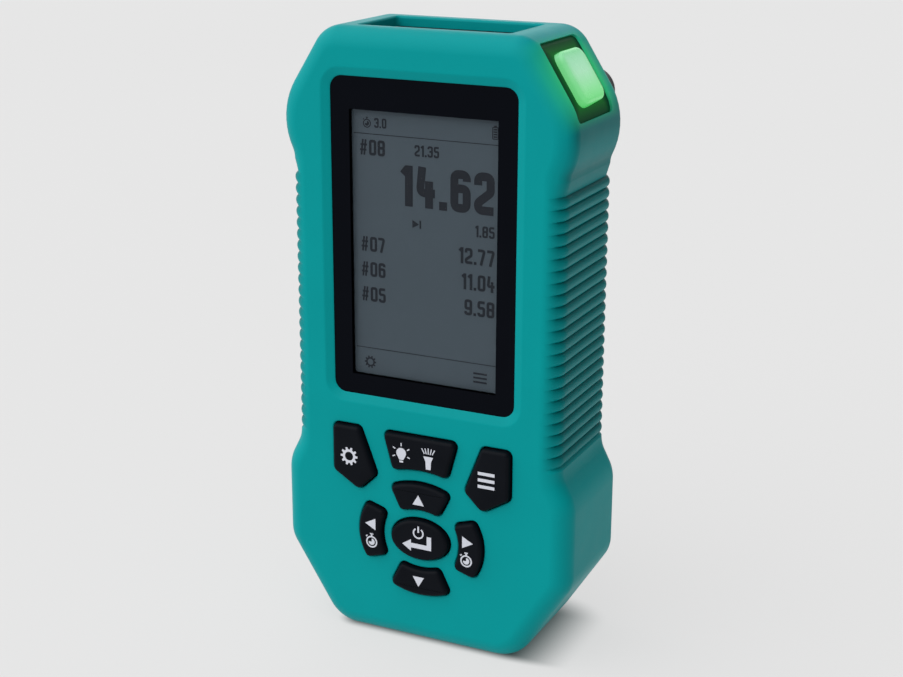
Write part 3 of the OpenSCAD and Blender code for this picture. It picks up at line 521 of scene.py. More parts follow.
class NodeBoard:
    """The node tree of one material or of the world."""

    def __init__(self, owner: bpy.types.ID, shader: str = "Principled BSDF", place: str = "Object") -> None:
        """Opens the tree of its owner.

        Args:
            owner: The new material or world.
            shader: Name of the shader in its tree.
            place: Which coordinates its textures use.
        """
        owner.use_nodes = True
        self.owner = owner
        self.tree = owner.node_tree
        self.shader = self.tree.nodes[shader]
        self.place = self.node("ShaderNodeTexCoord", out=place)

    def node(
        self,
        kind: str,
        settings: dict[str, Any] | None = None,
        sockets: dict[Any, Any] | None = None,
        out: Any = 0,
    ) -> Value:
        """Adds a node, sets it up and links it.

        Args:
            kind: Type of the node.
            settings: Its settings; stops are the stops of a ramp.
            sockets: Values or links of its inputs.
            out: Which output is wanted.

        Returns:
            That output.
        """
        made = self.tree.nodes.new(kind)
        for key, value in (settings or {}).items():
            if key == "stops":
                self._stops(made.color_ramp, value)
            else:
                setattr(made, key, value)
        for key, value in (sockets or {}).items():
            self._feed(made.inputs[key], value)
        return Value(self, made.outputs[out])

    @staticmethod
    def _stops(ramp: bpy.types.ColorRamp, stops: Sequence[tuple[float, Color]]) -> None:
        """Sets the stops of a ramp.

        Args:
            ramp: The ramp.
            stops: Place and colour of each stop.
        """
        while len(ramp.elements) < len(stops):
            ramp.elements.new(1.0)
        for element, (position, color) in zip(ramp.elements, stops):
            element.position = position
            element.color = (*color, 1.0)

    def _feed(self, socket: bpy.types.NodeSocket, value: Any) -> None:
        """Links a value to a socket, or sets it there.

        Args:
            socket: The socket.
            value: The value, colour or output.
        """
        if isinstance(value, Value):
            self.tree.links.new(value.socket, socket)
        elif socket.type == "RGBA" and len(value) == 3:
            socket.default_value = (*value, 1.0)
        else:
            socket.default_value = value

    def wear(self, **values: Any) -> None:
        """Sets the shader's sockets; an underscore in a name stands for a space."""
        for key, value in values.items():
            self._feed(self.shader.inputs[key.replace("_", " ")], value)

    def noise(self, size: float, detail: float = 2.0, stretch: Trio | None = None) -> Value:
        """Noise over the object's own place.

        Args:
            size: Size of its spots in millimetres.
            detail: How many finer layers it has.
            stretch: Scale along each axis.

        Returns:
            The noise from 0 to 1.
        """
        place = self.place
        if stretch is not None:
            place = self.node("ShaderNodeMapping", None, {"Vector": place, "Scale": stretch})
        sockets = {"Vector": place, "Scale": 1 / (size * MM), "Detail": detail}
        return self.node("ShaderNodeTexNoise", None, sockets)

    def axes(self) -> list[Value]:
        """The place along each axis, in millimetres."""
        return [self.node("ShaderNodeSeparateXYZ", None, {0: self.place}, out=k) / MM for k in range(3)]

    def mix(self, share: Any, first: Any, second: Any) -> Value:
        """A colour between two."""
        return self.node("ShaderNodeMix", {"data_type": "RGBA"}, {0: share, 6: first, 7: second}, out=2)

    def ramp(self, value: Value, stops: Sequence[tuple[float, Color]]) -> Value:
        """A colour from stops along a value."""
        return self.node("ShaderNodeValToRGB", {"stops": stops}, {0: value})

    def bump(self, height: Value, depth: float) -> Value:
        """A normal from a height, where a height of 1 stands for a depth in millimetres."""
        return self.node("ShaderNodeBump", None, {"Height": height, "Distance": depth * MM, "Strength": 1.0})


# Finishes


def srgb(red: float, green: float, blue: float) -> Color:
    """Linear colour of a display colour given from 0 to 255."""
    shares = [level / 255 for level in (red, green, blue)]
    return tuple(s / 12.92 if s <= 0.04045 else ((s + 0.055) / 1.055) ** 2.4 for s in shares)


def tint(color: Color, factor: float) -> Color:
    """A colour times a factor."""
    return tuple(factor * part for part in color)


@dataclass(frozen=True)
class Slant:
    """The slanted corner that carries the start button, and its own axes.

    Attributes:
        centre: Middle of the start window.
        angle: Turn about Y from level to the slant, in degrees.
        window: Size of the window down the slant and front to back.
        cap: Size of the button down the slant and front to back.
    """

    centre: Trio = (29.664, -1.7, 129.240)
    angle: float = 57.70
    window: Pair = (18.0, 19.5)
    cap: Pair = (12.0, 12.3)

    def matrix(self) -> Matrix:
        """From the slant's axes to the object's."""
        return Matrix.Translation(self.centre) @ Matrix.Rotation(math.radians(self.angle), 4, "Y")

    def axes(self, board: NodeBoard) -> tuple[Value, Value, Value]:
        """Places on a board along the slant's own axes.

        Args:
            board: The board of a material.

        Returns:
            Place down the slant, front to back and outwards, in millimetres from its middle.
        """
        x, y, z = board.axes()
        right, rise = x - self.centre[0], z - self.centre[2]
        cosine, sine = math.cos(math.radians(self.angle)), math.sin(math.radians(self.angle))
        return right * cosine - rise * sine, y - self.centre[1], right * sine + rise * cosine

    @staticmethod
    def outside(size: Pair, down: Value, back: Value) -> Value:
        """Distance outside a box of a size round the middle."""
        return (abs(down) - size[0] / 2).highest(abs(back) - size[1] / 2).highest(0.0)


@dataclass(frozen=True)
class Finish:
    """What a surface is made of."""

    name: str

    def make(self) -> bpy.types.Material:
        """The material.

        Returns:
            The material, with its nodes set up.
        """
        board = NodeBoard(bpy.data.materials.new(self.name))
        self.paint(board)
        return board.owner

    def paint(self, board: NodeBoard) -> None:
        """Sets up the nodes on the material's board."""
        raise NotImplementedError


@dataclass(frozen=True)
class Silicone(Finish):
    """Soft matt silicone with a faint grain, with painted shade between its ribs and in bands up its side
    walls, and a painted green glow beside the start window.

    Attributes:
        grain: Size of the grain's spots, and their depth.
        cloud: Size and detail of the spots in its colour.
        smudge: Size and detail of the spots in its gloss.
        rib_shade: Light left at the top and at the foot of each rib.
        side_shade: Height and depth of the painted shade in bands up the side walls.
        flank: Where the ribs' shade begins and is full, across.
        side: Where the side walls' painted shade begins and is full, across.
        face: Where the side walls' painted shade begins and is full, front to back.
        off_plane: Distance from the slant that the spill reaches freely, and the weight of more.
        end_fade: How the spill fades towards the ends of the window.
    """

    name: str = "sleeve_silicone"
    color: Color = srgb(0, 146, 148)
    deep: Color = srgb(0, 139, 141)
    shadow: Color = (0.0, 0.004, 0.004)
    darkest: float = 0.9
    grain: Pair = (0.22, 0.010)
    cloud: Pair = (16.0, 3.0)
    smudge: Pair = (5.0, 4.0)
    rough: Pair = (0.34, 0.46)
    gloss: float = 0.055
    slant: Slant = Slant()
    rib_top: float = 106.3
    rib_pitch: float = 2.565
    rib_count: int = 23
    rib_shade: Pair = (0.46, 1.0)
    height: float = 138.2
    side_shade: tuple[Pair, ...] = (
        (38.5, 0.0), (44.0, 0.16), (47.0, 0.12), (50.0, 0.0), (104.0, 0.0), (110.5, 0.40), (113.5, 0.20),
        (116.0, 0.26), (118.5, 0.42), (121.5, 0.38), (125.0, 0.0),
    )
    flank: Pair = (28.6, 30.8)
    side: Pair = (29.0, 31.0)
    face: Pair = (14.5, 12.5)
    lit: Color = srgb(16, 176, 122)
    glow: Color = (0.026, 0.140, 0.040)
    reach: float = 7.0
    off_plane: Pair = (1.5, 0.75)
    end_fade: Pair = (1.05, 105.0)

    def _spill(self, board: NodeBoard) -> Value:
        """Share of the button's green light painted onto the sleeve beside its window.

        Args:
            board: The material's board.

        Returns:
            The share from 0 to 1.
        """
        down, back, out = self.slant.axes(board)
        free, weight = self.off_plane
        away = self.slant.outside(self.slant.window, down, back) + (abs(out) - free).highest(0.0) * weight
        near = away.near(self.reach)
        return near * near * (self.end_fade[0] - down * down / self.end_fade[1]).highest(0.0)

    def _shade(self, board: NodeBoard) -> Value:
        """Painted shade between the ribs and in bands up the side walls.

        Args:
            board: The material's board.

        Returns:
            The shade from 0 to 1.
        """
        x, y, z = board.axes()
        rung = (self.rib_top - z) / self.rib_pitch
        inside = (rung > 0.0) * (rung < self.rib_count)
        ribs = abs(x).ramp(*self.flank) * inside * (1 - rung.fract().spread(*self.rib_shade))
        stops = [(level / self.height, (share,) * 3) for level, share in self.side_shade]
        side_shade = abs(y).ramp(*self.face) * abs(x).ramp(*self.side) * board.ramp(z / self.height, stops)
        return (ribs + side_shade).lowest(self.darkest)

    def paint(self, board: NodeBoard) -> None:
        """Sets up the nodes on the material's board.

        Args:
            board: The board.
        """
        spill = self._spill(board)
        size, depth = self.grain
        cloud = board.mix(board.noise(*self.cloud), self.deep, self.color)
        # Painted shade: the ribs and the bands up the side walls are darkened towards the shadow colour.
        shaded_teal = board.mix(self._shade(board), cloud, self.shadow)
        # Painted light: beside the start window the colour turns green and the sleeve glows with the button's
        # light.
        board.wear(
            Base_Color=board.mix(spill, shaded_teal, self.lit),
            Roughness=board.noise(*self.smudge).spread(*self.rough),
            Normal=board.bump(board.noise(size), depth),
            Emission_Color=board.mix(spill, (0.0, 0.0, 0.0), self.glow),
            Emission_Strength=1.0,
            Specular_IOR_Level=self.gloss,
        )


@dataclass(frozen=True)
class Moulded(Finish):
    """Moulded plastic or rubber with a spark-eroded grain.

    Attributes:
        grain: Size of the grain's spots.
        depth: Depth of the grain.
        smudge: Size and detail of the paler spots.
        lift: How much paler they are, as a factor and a sum.
    """

    color: Color
    rough: Pair = (0.38, 0.52)
    grain: float = 0.30
    depth: float = 0.012
    gloss: float = 0.4
    smudge: Pair = (6.0, 4.0)
    lift: Pair = (1.35, 0.002)

    def paint(self, board: NodeBoard) -> None:
        """Sets up the nodes on the material's board.

        Args:
            board: The board.
        """
        smudge = board.noise(*self.smudge)
        factor, more = self.lift
        pale = tuple(min(1.0, factor * part + more) for part in self.color)
        board.wear(
            Base_Color=board.mix(smudge, self.color, pale),
            Roughness=smudge.spread(*self.rough),
            Normal=board.bump(board.noise(self.grain), self.depth),
            Specular_IOR_Level=self.gloss,
        )


@dataclass(frozen=True)
class Metal(Finish):
    """Drawn or stamped metal with fine scratches along one axis."""

    color: Color
    rough: Pair = (0.22, 0.42)
    stretch: Trio = (1.0, 1.0, 0.08)
    scratch: Pair = (0.10, 3.0)
    depth: float = 0.004
    stain: Pair = (2.5, 4.0)
    dull: float = 0.72

    def paint(self, board: NodeBoard) -> None:
        """Sets up the nodes on the material's board.

        Args:
            board: The board.
        """
        lines = board.noise(*self.scratch, self.stretch)
        board.wear(
            Base_Color=board.mix(board.noise(*self.stain), tint(self.color, self.dull), self.color),
            Roughness=lines.spread(*self.rough),
            Normal=board.bump(lines, self.depth),
            Metallic=1.0,
        )


@dataclass(frozen=True)
class ClearPlastic(Finish):
    """Clear moulded plastic with faint flow marks."""

    color: Color = (0.86, 0.9, 0.92)
    rough: Pair = (0.04, 0.12)
    alpha: Pair = (0.41, 0.49)
    flow: Pair = (1.6, 3.0)
    dull: float = 0.9

    def paint(self, board: NodeBoard) -> None:
        """Sets up the nodes on the material's board.

        Args:
            board: The board.
        """
        flow = board.noise(*self.flow)
        board.wear(
            Base_Color=board.mix(flow, tint(self.color, self.dull), self.color),
            Roughness=flow.spread(*self.rough),
            Alpha=flow.spread(*self.alpha),
        )


@dataclass(frozen=True)
class BoardLacquer(Finish):
    """Green lacquer of a circuit board, with paler tracks under it."""

    name: str = "board_green"
    color: Color = srgb(12, 74, 44)
    track: Color = srgb(30, 110, 66)
    rough: Pair = (0.25, 0.4)
    pitch: float = 2.4
    half_track: float = 0.16
    slope: float = 0.5
    show: float = 0.8
    rise: float = 0.02
    cloud: Pair = (4.0, 3.0)

    def paint(self, board: NodeBoard) -> None:
        """Sets up the nodes on the material's board.

        Args:
            board: The board.
        """
        x, _, z = board.axes()
        lines = abs(((x + z * self.slope) / self.pitch).fract() - 0.5) < self.half_track
        board.wear(
            Base_Color=board.mix(lines * self.show, self.color, self.track),
            Roughness=board.noise(*self.cloud).spread(*self.rough),
            Normal=board.bump(lines, self.rise),
        )


@dataclass(frozen=True)
class CellWrap(Finish):
    """Foil wrap of a cell: a grey barrel with a pale band at one end of each."""

    name: str = "cell_can"
    dark: Color = srgb(74, 86, 98)
    band: Color = srgb(188, 192, 195)
    rough: Pair = (0.25, 0.42)
    middle_z: float = 43.0
    band_from: float = 10.0
    cloud: Pair = (1.2, 4.0)
    metallic: float = 0.7

    def paint(self, board: NodeBoard) -> None:
        """Sets up the nodes on the material's board.

        Args:
            board: The board.
        """
        x, _, z = board.axes()
        way = (x > 0.0) * 2 - 1
        end = (way * (self.middle_z - z)) > self.band_from
        board.wear(
            Base_Color=board.mix(end, self.dark, self.band),
            Roughness=board.noise(*self.cloud).spread(*self.rough),
            Metallic=self.metallic,
        )


@dataclass(frozen=True)
class ScreenGlass(Finish):
    """Hard lens: a clear pane inside a border printed black from behind."""

    name: str = "screen_glass"
    pane: Pair = (34.6, 58.8)
    middle_z: float = 91.6
    border: Color = srgb(6, 8, 14)
    rough: Pair = (0.06, 0.13)
    clear: float = 0.05
    haze: Pair = (9.0, 4.0)
    lift: float = 1.25
    gloss: float = 0.03

    def paint(self, board: NodeBoard) -> None:
        """Sets up the nodes on the material's board.

        Args:
            board: The board.
        """
        x, _, z = board.axes()
        printed = (abs(x) - self.pane[0] / 2).highest(abs(z - self.middle_z) - self.pane[1] / 2) > 0.0
        haze = board.noise(*self.haze)
        board.wear(
            Base_Color=board.mix(haze, self.border, tint(self.border, self.lift)),
            Roughness=haze.spread(*self.rough),
            Alpha=printed.spread(self.clear, 1.0),
            Specular_IOR_Level=self.gloss,
        )


@dataclass(frozen=True)
class Reflector(Finish):
    """Grey reflective liquid crystal with its fine grid of cells."""

    name: str = "lcd_glass"
    color: Color = srgb(74, 85, 93)
    line: Color = srgb(66, 76, 84)
    rough: Pair = (0.5, 0.62)
    pitch: float = 0.147
    half_cell: float = 0.42
    cloud: Pair = (14.0, 2.0)
    lift: float = 1.08
    gloss: float = 0.1

    def paint(self, board: NodeBoard) -> None:
        """Sets up the nodes on the material's board.

        Args:
            board: The board.
        """
        x, _, z = board.axes()
        across, down = (abs((way / self.pitch).fract() - 0.5) > self.half_cell for way in (x, z))
        cloud = board.noise(*self.cloud)
        cell = board.mix(cloud, self.color, tint(self.color, self.lift))
        board.wear(
            Base_Color=board.mix(across.highest(down), cell, self.line),
            Roughness=cloud.spread(*self.rough),
            Specular_IOR_Level=self.gloss,
        )


@dataclass(frozen=True)
class Glow(Finish):
    """Translucent cap lit from inside: pale in the middle, greener towards its lower end and its edges."""

    name: str = "start_green"
    slant: Slant = Slant()
    stops: tuple[tuple[float, Color], ...] = (
        (0.0, (0.21, 0.50, 0.32)), (0.45, (0.29, 0.56, 0.37)), (1.0, (0.09, 0.57, 0.12)),
    )
    rim: Color = (0.07, 0.45, 0.11)
    rim_share: float = 0.85
    tones: tuple[Color, Color] = ((0.11, 0.25, 0.14), (0.14, 0.29, 0.17))
    cloud: Pair = (3.0, 3.0)
    rough: Pair = (0.22, 0.32)
    gloss: float = 0.25

    def paint(self, board: NodeBoard) -> None:
        """Sets up the nodes on the material's board.

        Args:
            board: The board.
        """
        down, back, _ = self.slant.axes(board)
        length, depth = self.slant.cap
        side = (abs(back) / (depth / 2)).highest(abs(down) / (length / 2))
        edge = (side * side) * (side * side)
        cloud = board.noise(*self.cloud)
        inside = board.ramp(down / length + 0.5, self.stops)
        board.wear(
            Base_Color=board.mix(cloud, *self.tones),
            Roughness=cloud.spread(*self.rough),
            Emission_Color=board.mix(edge * self.rim_share, inside, self.rim),
            Emission_Strength=1.0,
            Specular_IOR_Level=self.gloss,
        )


@dataclass(frozen=True)
class LitFrame(Finish):
    """Dark translucent frame with a painted glow of the cap's light near the cap and a faint painted glow
    elsewhere.
    """

    name: str = "start_frame_plastic"
    slant: Slant = Slant()
    dark: Color = srgb(4, 14, 10)
    faint: Color = (0.0, 0.014, 0.009)
    glow: Color = srgb(16, 92, 32)
    rough: Pair = (0.25, 0.38)
    reach: float = 4.6
    cloud: Pair = (2.0, 3.0)
    lift: float = 1.5
    gloss: float = 0.02

    def paint(self, board: NodeBoard) -> None:
        """Sets up the nodes on the material's board.

        Args:
            board: The board.
        """
        down, back, _ = self.slant.axes(board)
        # Painted light: the frame glows green near the cap and faintly everywhere else.
        near = self.slant.outside(self.slant.cap, down, back).near(self.reach)
        cloud = board.noise(*self.cloud)
        board.wear(
            Base_Color=board.mix(cloud, self.dark, tint(self.dark, self.lift)),
            Roughness=cloud.spread(*self.rough),
            Emission_Color=board.mix(near * near, self.faint, self.glow),
            Emission_Strength=1.0,
            Specular_IOR_Level=self.gloss,
        )


@dataclass(frozen=True)
class Ink(Finish):
    """Screen-printed or displayed marks: near flat, with a faint unevenness."""

    color: Color
    rough: Pair = (0.45, 0.6)
    speck: Pair = (0.5, 3.0)
    dull: float = 0.9
    gloss: float = 0.2

    def paint(self, board: NodeBoard) -> None:
        """Sets up the nodes on the material's board.

        Args:
            board: The board.
        """
        speck = board.noise(*self.speck)
        board.wear(
            Base_Color=board.mix(speck, tint(self.color, self.dull), self.color),
            Roughness=speck.spread(*self.rough),
            Specular_IOR_Level=self.gloss,
        )


@dataclass(frozen=True)
class FloorPaper(Finish):
    """Pale paper that glows a little, with a painted shadow where the foot stands on it.

    Attributes:
        foot: Half width and half depth of the foot.
        reach: How far the painted shadow reaches to the left, right, front and back.
    """

    name: str = "floor_paper"
    tones: tuple[Color, Color] = ((0.15, 0.15, 0.15), (0.16, 0.16, 0.16))
    bare: Color = (0.611, 0.611, 0.611)
    shaded: Color = (0.0, 0.02, 0.02)
    cloud: Pair = (600.0, 2.0)
    rough: float = 0.9
    foot: Pair = (18.0, 11.0)
    reach: tuple[float, float, float, float] = (6.0, 17.0, 4.2, 12.0)

    def paint(self, board: NodeBoard) -> None:
        """Sets up the nodes on the material's board.

        Args:
            board: The board.
        """
        x, y, _ = board.axes()
        left, right, front, back = self.reach
        half_w, half_d = self.foot
        # Painted shadow: round the foot the floor's glow darkens towards a dark shadow colour.
        across = ((x - half_w) / right).highest((-half_w - x) / left).highest(0.0)
        along = ((y - half_d) / back).highest((-half_d - y) / front).highest(0.0)
        near = (1 - across * across - along * along).highest(0.0)
        board.wear(
            Base_Color=board.mix(board.noise(*self.cloud), *self.tones),
            Roughness=self.rough,
            Specular_IOR_Level=0.0,
            Emission_Color=board.mix(near * near, self.bare, self.shaded),
            Emission_Strength=1.0,
        )


MADE: dict[str, bpy.types.Material] = {}
CASE_PLASTIC = Moulded("case_plastic", srgb(30, 32, 36), (0.36, 0.50), 0.35, 0.02, 0.45)
DOOR_PLASTIC = Moulded("door_plastic", srgb(33, 35, 39), (0.36, 0.50), 0.40, 0.025, 0.45)
CLIP_PLASTIC = Moulded("clip_plastic", srgb(28, 30, 34), (0.30, 0.44), 0.40, 0.015, 0.5)
KEY_PLASTIC = Moulded("key_plastic", srgb(7, 10, 16), (0.32, 0.44), 0.25, 0.006, 0.05)
MARK_WHITE = Ink("key_mark", srgb(204, 207, 217))
FIGURE_GREY = Ink("lcd_figures", srgb(28, 33, 41))


def dress(piece: Piece, finish: Finish) -> None:
    """Gives a piece one finish all over; its material is made on first use.

    Args:
        piece: The piece.
        finish: The finish.
    """
    if finish.name not in MADE:
        MADE[finish.name] = finish.make()
    piece.data.materials.clear()
    piece.data.materials.append(MADE[finish.name])


def finish_piece(piece: Piece, body: str, finish: Finish, nodes: Sequence[str] = ()) -> None:
    """Dresses a new piece, sets it on its body and hides the solids that it replaces.

    Args:
        piece: The piece.
        body: The body that it rides on.
        finish: Its finish.
        nodes: The solids that it replaces; only then are its edges smoothed.
    """
    if nodes:
        smooth(piece)
    dress(piece, finish)
    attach(piece, body)
    if nodes:
        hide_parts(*nodes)
    LOG.info("%s: %d faces on %s", piece.name, len(piece.data.polygons), body)


# Sub-assemblies


@dataclass
class Sleeve:
    """The silicone sleeve: a waisted, ribbed skin with round edges, cut open for what shows through it.

    Attributes:
        right: Sharp corners of the right half, from the top down.
        rib_fade: Angles round the edge between which the ribs rise to their full depth.
        lip: Growth and depth of each ring of the bevel round the screen window.
        lens_seat: Depth and growth of the seat of the lens.
        top_recess: Width, depth and middle of the recess in the top.
        post: Place and radius of the lanyard post's hole.
        past: How far the tools reach past what they cut.
    """

    right: tuple[Pair, ...] = (
        (24, 138.2), (36.2, 118.9), (32.1, 110.2), (32.1, 44.9), (35.2, 38.9), (35.2, 19.9), (22.5, 0),
    )
    radii: tuple[float, ...] = (7, 15.5, 4.6, 7, 9.9, 7.6, 8.7)
    corner_steps: int = 10
    waist: int = 2
    edge_r: float = 4.4
    edge_steps: int = 12
    rib_pitch: float = 2.565
    rib_depth: float = 0.85
    rib_count: int = 23
    rib_top: float = 106.3
    rib_steps: int = 10
    rib_fade: Pair = (12.0, 55.0)
    wall: float = 2.2
    bevel: float = 1.6
    rear_rim: float = 7.5
    rear_mouth: float = 0.5
    mouth_steps: int = 5
    window: Pair = (43.5, 70.4)
    window_z: float = 92.8
    window_r: float = 2.8
    lip: tuple[Pair, ...] = (
        (2.15, 0.0), (1.98, 0.015), (1.80, 0.06), (1.62, 0.13),
        (0.40, 0.70), (0.22, 0.79), (0.08, 0.88), (0.0, 0.97),
    )
    lens_seat: Pair = (1.0, 1.3)
    key_mouth: float = 0.35
    key_steps: int = 4
    top_recess: Trio = (35.0, 18.0, -0.5)
    top_r: float = 0.8
    top_mouth: float = 0.6
    post: Trio = (24.4, 123.1, 5.5)
    post_steps: int = 64
    past: float = 1.0

    def outline(self) -> Outline:
        """The body's outline without its ribs."""
        corners = tuple(self.right) + tuple(mirrored(self.right))
        return Outline(corners, self.radii + self.radii[::-1], self.corner_steps)

    def _rib_drop(self, step: int) -> float:
        """How deep the rib profile lies at a step along the waist.

        Args:
            step: The step, from the top of the ribs.

        Returns:
            The depth below the crest.
        """
        radius = (self.rib_pitch**2 / 4 + self.rib_depth**2) / (2 * self.rib_depth)
        off = ((step % self.rib_steps) / self.rib_steps - 0.5) * self.rib_pitch
        return radius - math.sqrt(radius**2 - off**2)

    def _skin_row(self, y: float, inset: float, share: float) -> Row:
        """One ring of the skin.

        Args:
            y: Its depth.
            inset: How far it lies inside the widest outline.
            share: How much of the rib depth it shows.

        Returns:
            The points, clockwise.
        """
        outline = self.outline()
        bends = [outline.corner(index, inset) for index in range(len(self.right))]
        upper, lower = bends[:self.waist + 1], bends[self.waist + 1:]
        crest = self.right[self.waist][0] - inset
        rise = self.rib_pitch / self.rib_steps
        ribs = [
            Vector((crest - share * self._rib_drop(step), self.rib_top - step * rise))
            for step in range(self.rib_steps * self.rib_count + 1)
        ]
        half = sum(upper, []) + ribs + sum(lower, [])
        points = half + [Vector((-point.x, point.y)) for point in reversed(half)]
        return [Axis.Y.place(point, y) for point in points]

    def _edge_rows(self, face: float, way: int) -> list[Row]:
        """Rings over the round edge of the front or back.

        Args:
            face: Depth of the face.
            way: 1 for the front, -1 for the back.

        Returns:
            The rings, from the face inwards.
        """
        low, high = self.rib_fade
        rows = []
        for step, (y, inset) in enumerate(brow(face, way, self.edge_r, self.edge_steps)):
            share = (90 * step / self.edge_steps - low) / (high - low)
            rows.append(self._skin_row(y, inset, max(0.0, min(1.0, share))))
        return rows

    def _cavity(self) -> Piece:
        """The space for the case.

        Returns:
            The tool.
        """
        near, far, full = FRONT_Y + self.wall, BACK_Y - self.wall, self.wall + self.bevel
        levels = [(near, full), (near + self.bevel, self.wall), (far - self.bevel, self.wall), (far, full)]
        return stack("cavity_tool", self.outline(), levels)

    def _window_tool(self) -> Piece:
        """The screen window with its bevelled lip and the seat of the lens.

        Returns:
            The tool.
        """
        depth, grow = self.lens_seat
        levels = [(-self.past, -self.lip[0][0]), *((down, -wide) for wide, down in self.lip)]
        levels += [(depth, 0.0), (depth, -grow), (self.wall + self.past, -grow)]
        box = rounded_box(*self.window, (0, self.window_z), self.window_r)
        return stack("window_tool", box, [(FRONT_Y + down, inset) for down, inset in levels])

    def _top_tool(self) -> Piece:
        """The recess in the top.

        Returns:
            The tool.
        """
        width, depth, y = self.top_recess
        top = self.right[0][1]
        levels = mouth(top, top - self.wall - self.past, self.top_mouth, self.mouth_steps, self.past)
        return stack("top_tool", rounded_box(width, depth, (0, y), self.top_r), levels, Axis.Z.place)

    def _rear_tools(self) -> list[Piece]:
        """The opening in the back and the hole for the lanyard post.

        Returns:
            The two tools.
        """
        near, far = BACK_Y - self.wall - self.past, BACK_Y + self.past
        x, z, radius = self.post
        levels = mouth(BACK_Y, near, self.rear_mouth, self.mouth_steps, self.past, -self.rear_rim)
        return [
            stack("rear_tool", self.outline(), levels[::-1]),
            stack("post_tool", round_outline((x, z), radius, self.post_steps), [(near, 0.0), (far, 0.0)]),
        ]

    def build(self, holes: Sequence[Outline], hole_gap: float, start_tool: Piece) -> None:
        """Models and dresses the sleeve.

        Args:
            holes: Outlines of the keys.
            hole_gap: Clearance round each key.
            start_tool: The closed form of the start window.
        """
        rows = self._edge_rows(FRONT_Y, 1) + self._edge_rows(BACK_Y, -1)[::-1]
        sleeve = loft("silicone_sleeve_skin", rows)
        tools = [self._cavity(), self._window_tool(), self._top_tool(), start_tool, *self._rear_tools()]
        inside = FRONT_Y + self.wall + self.past
        levels = mouth(FRONT_Y, inside, self.key_mouth, self.key_steps, self.past, hole_gap)
        tools += [stack("key_tool", hole, levels) for hole in holes]
        combine(sleeve, tools)
        finish_piece(sleeve, Body.CASE, Silicone(), ["silicone_sleeve"])


@dataclass
class StartCorner:
    """The lit start button on the slanted corner."""

    slant: Slant = Slant()
    window_r: float = 1.2
    window_edge: float = 0.5
    window_steps: int = 4
    window_span: Pair = (3.0, -3.3)
    cap_r: float = 2.6
    proud: float = 1.2
    edge: float = 0.9
    edge_steps: int = 7
    flange: float = 0.7
    flange_z: Pair = (-5.5, -4.5)
    stem_r: float = 1.6
    stem_steps: int = 32
    stem_span: Pair = (-5.4, -6.0)

    def _place(self, point: Vector, height: float) -> Vector:
        """A point of an outline on the slant, at a height over it."""
        return self.slant.matrix() @ Vector((point.x, point.y, height))

    def window_tool(self) -> Piece:
        """The closed form that opens the sleeve.

        Returns:
            The tool.
        """
        past, end = self.window_span
        box = rounded_box(*self.slant.window, (0, 0), self.window_r)
        levels = mouth(0.0, end, self.window_edge, self.window_steps, past)
        return stack("start_tool", box, levels, self._place)

    def build(self) -> None:
        """Models and dresses the button."""
        low, high = self.flange_z
        levels = brow(self.proud, -1, self.edge, self.edge_steps)
        levels += [(high, 0.0), (high, -self.flange), (low, -self.flange)]
        box = rounded_box(*self.slant.cap, (0, 0), self.cap_r)
        cap = stack("start_button_cap", box, levels, self._place)
        pin = round_outline((0, 0), self.stem_r, self.stem_steps)
        stem = stack("start_stem", pin, [(height, 0.0) for height in self.stem_span], self._place)
        button = join([cap, stem], "start_button_cap")
        finish_piece(button, Body.START, Glow(), ["start_button"])


# Strokes of each figure on a grid from 0 to 1: whether they close, clockwise, and their bends.
# An open end may stand past the grid by half a stroke.
FIGURES: dict[str, list[Stroke]] = {
    "0": [(True, ((0, 1), (1, 1), (1, 0), (0, 0)))],
    "1": [(False, ((1, -0.115), (1, 1.115))), (False, ((-0.3, 0.83), (0.75, 1.01)))],
    "2": [(False, ((0, 0.74), (0, 1), (1, 1), (1, 0.54), (0, 0.22), (0, 0), (1.25, 0)))],
    "3": [
        (False, ((0, 0.78), (0, 1), (1, 1), (1, 0), (0, 0), (0, 0.22))),
        (False, ((0.3, 0.52), (1, 0.52))),
    ],
    "4": [(False, ((0.2, 1.115), (0, 0.34), (1.25, 0.34))), (False, ((0.76, 0.7), (0.76, -0.115)))],
    "5": [(False, ((1.15, 1), (0, 1), (0, 0.56), (1, 0.56), (1, 0), (0, 0), (0, 0.2)))],
    "6": [
        (True, ((0, 0.58), (1, 0.58), (1, 0), (0, 0))),
        (False, ((0, 0.3), (0, 1), (1, 1), (1, 0.8))),
    ],
    "7": [(False, ((-0.25, 1), (1, 1), (0.34, -0.115)))],
    "8": [
        (True, ((0, 1), (1, 1), (1, 0.52), (0, 0.52))),
        (True, ((0, 0.52), (1, 0.52), (1, 0), (0, 0))),
    ],
    "9": [
        (True, ((0, 1), (1, 1), (1, 0.42), (0, 0.42))),
        (False, ((1, 0.7), (1, 0), (0, 0), (0, 0.2))),
    ],
    "#": [
        (False, ((0.18, -0.1), (0.42, 1.1))), (False, ((0.63, -0.1), (0.87, 1.1))),
        (False, ((-0.05, 0.3), (1.0, 0.3))), (False, ((0.05, 0.7), (1.1, 0.7))),
    ],
}
# Shares of a figure's height: its width, the width of those with one of their own, and the gap between two.
FIGURE_WIDTH = 0.52
OWN_WIDTHS = {"1": 0.32, "#": 0.62}
FIGURE_GAP = 0.085
COUNT_STROKE = 0.7
BEND_STEPS = 4
HOOP_STEPS = 40
GEAR_TEETH = 10
GEAR_BORE = 0.48
GEAR_TOOTH = ((-0.30, 0.75), (-0.17, 1.0), (0.17, 1.0), (0.30, 0.75))


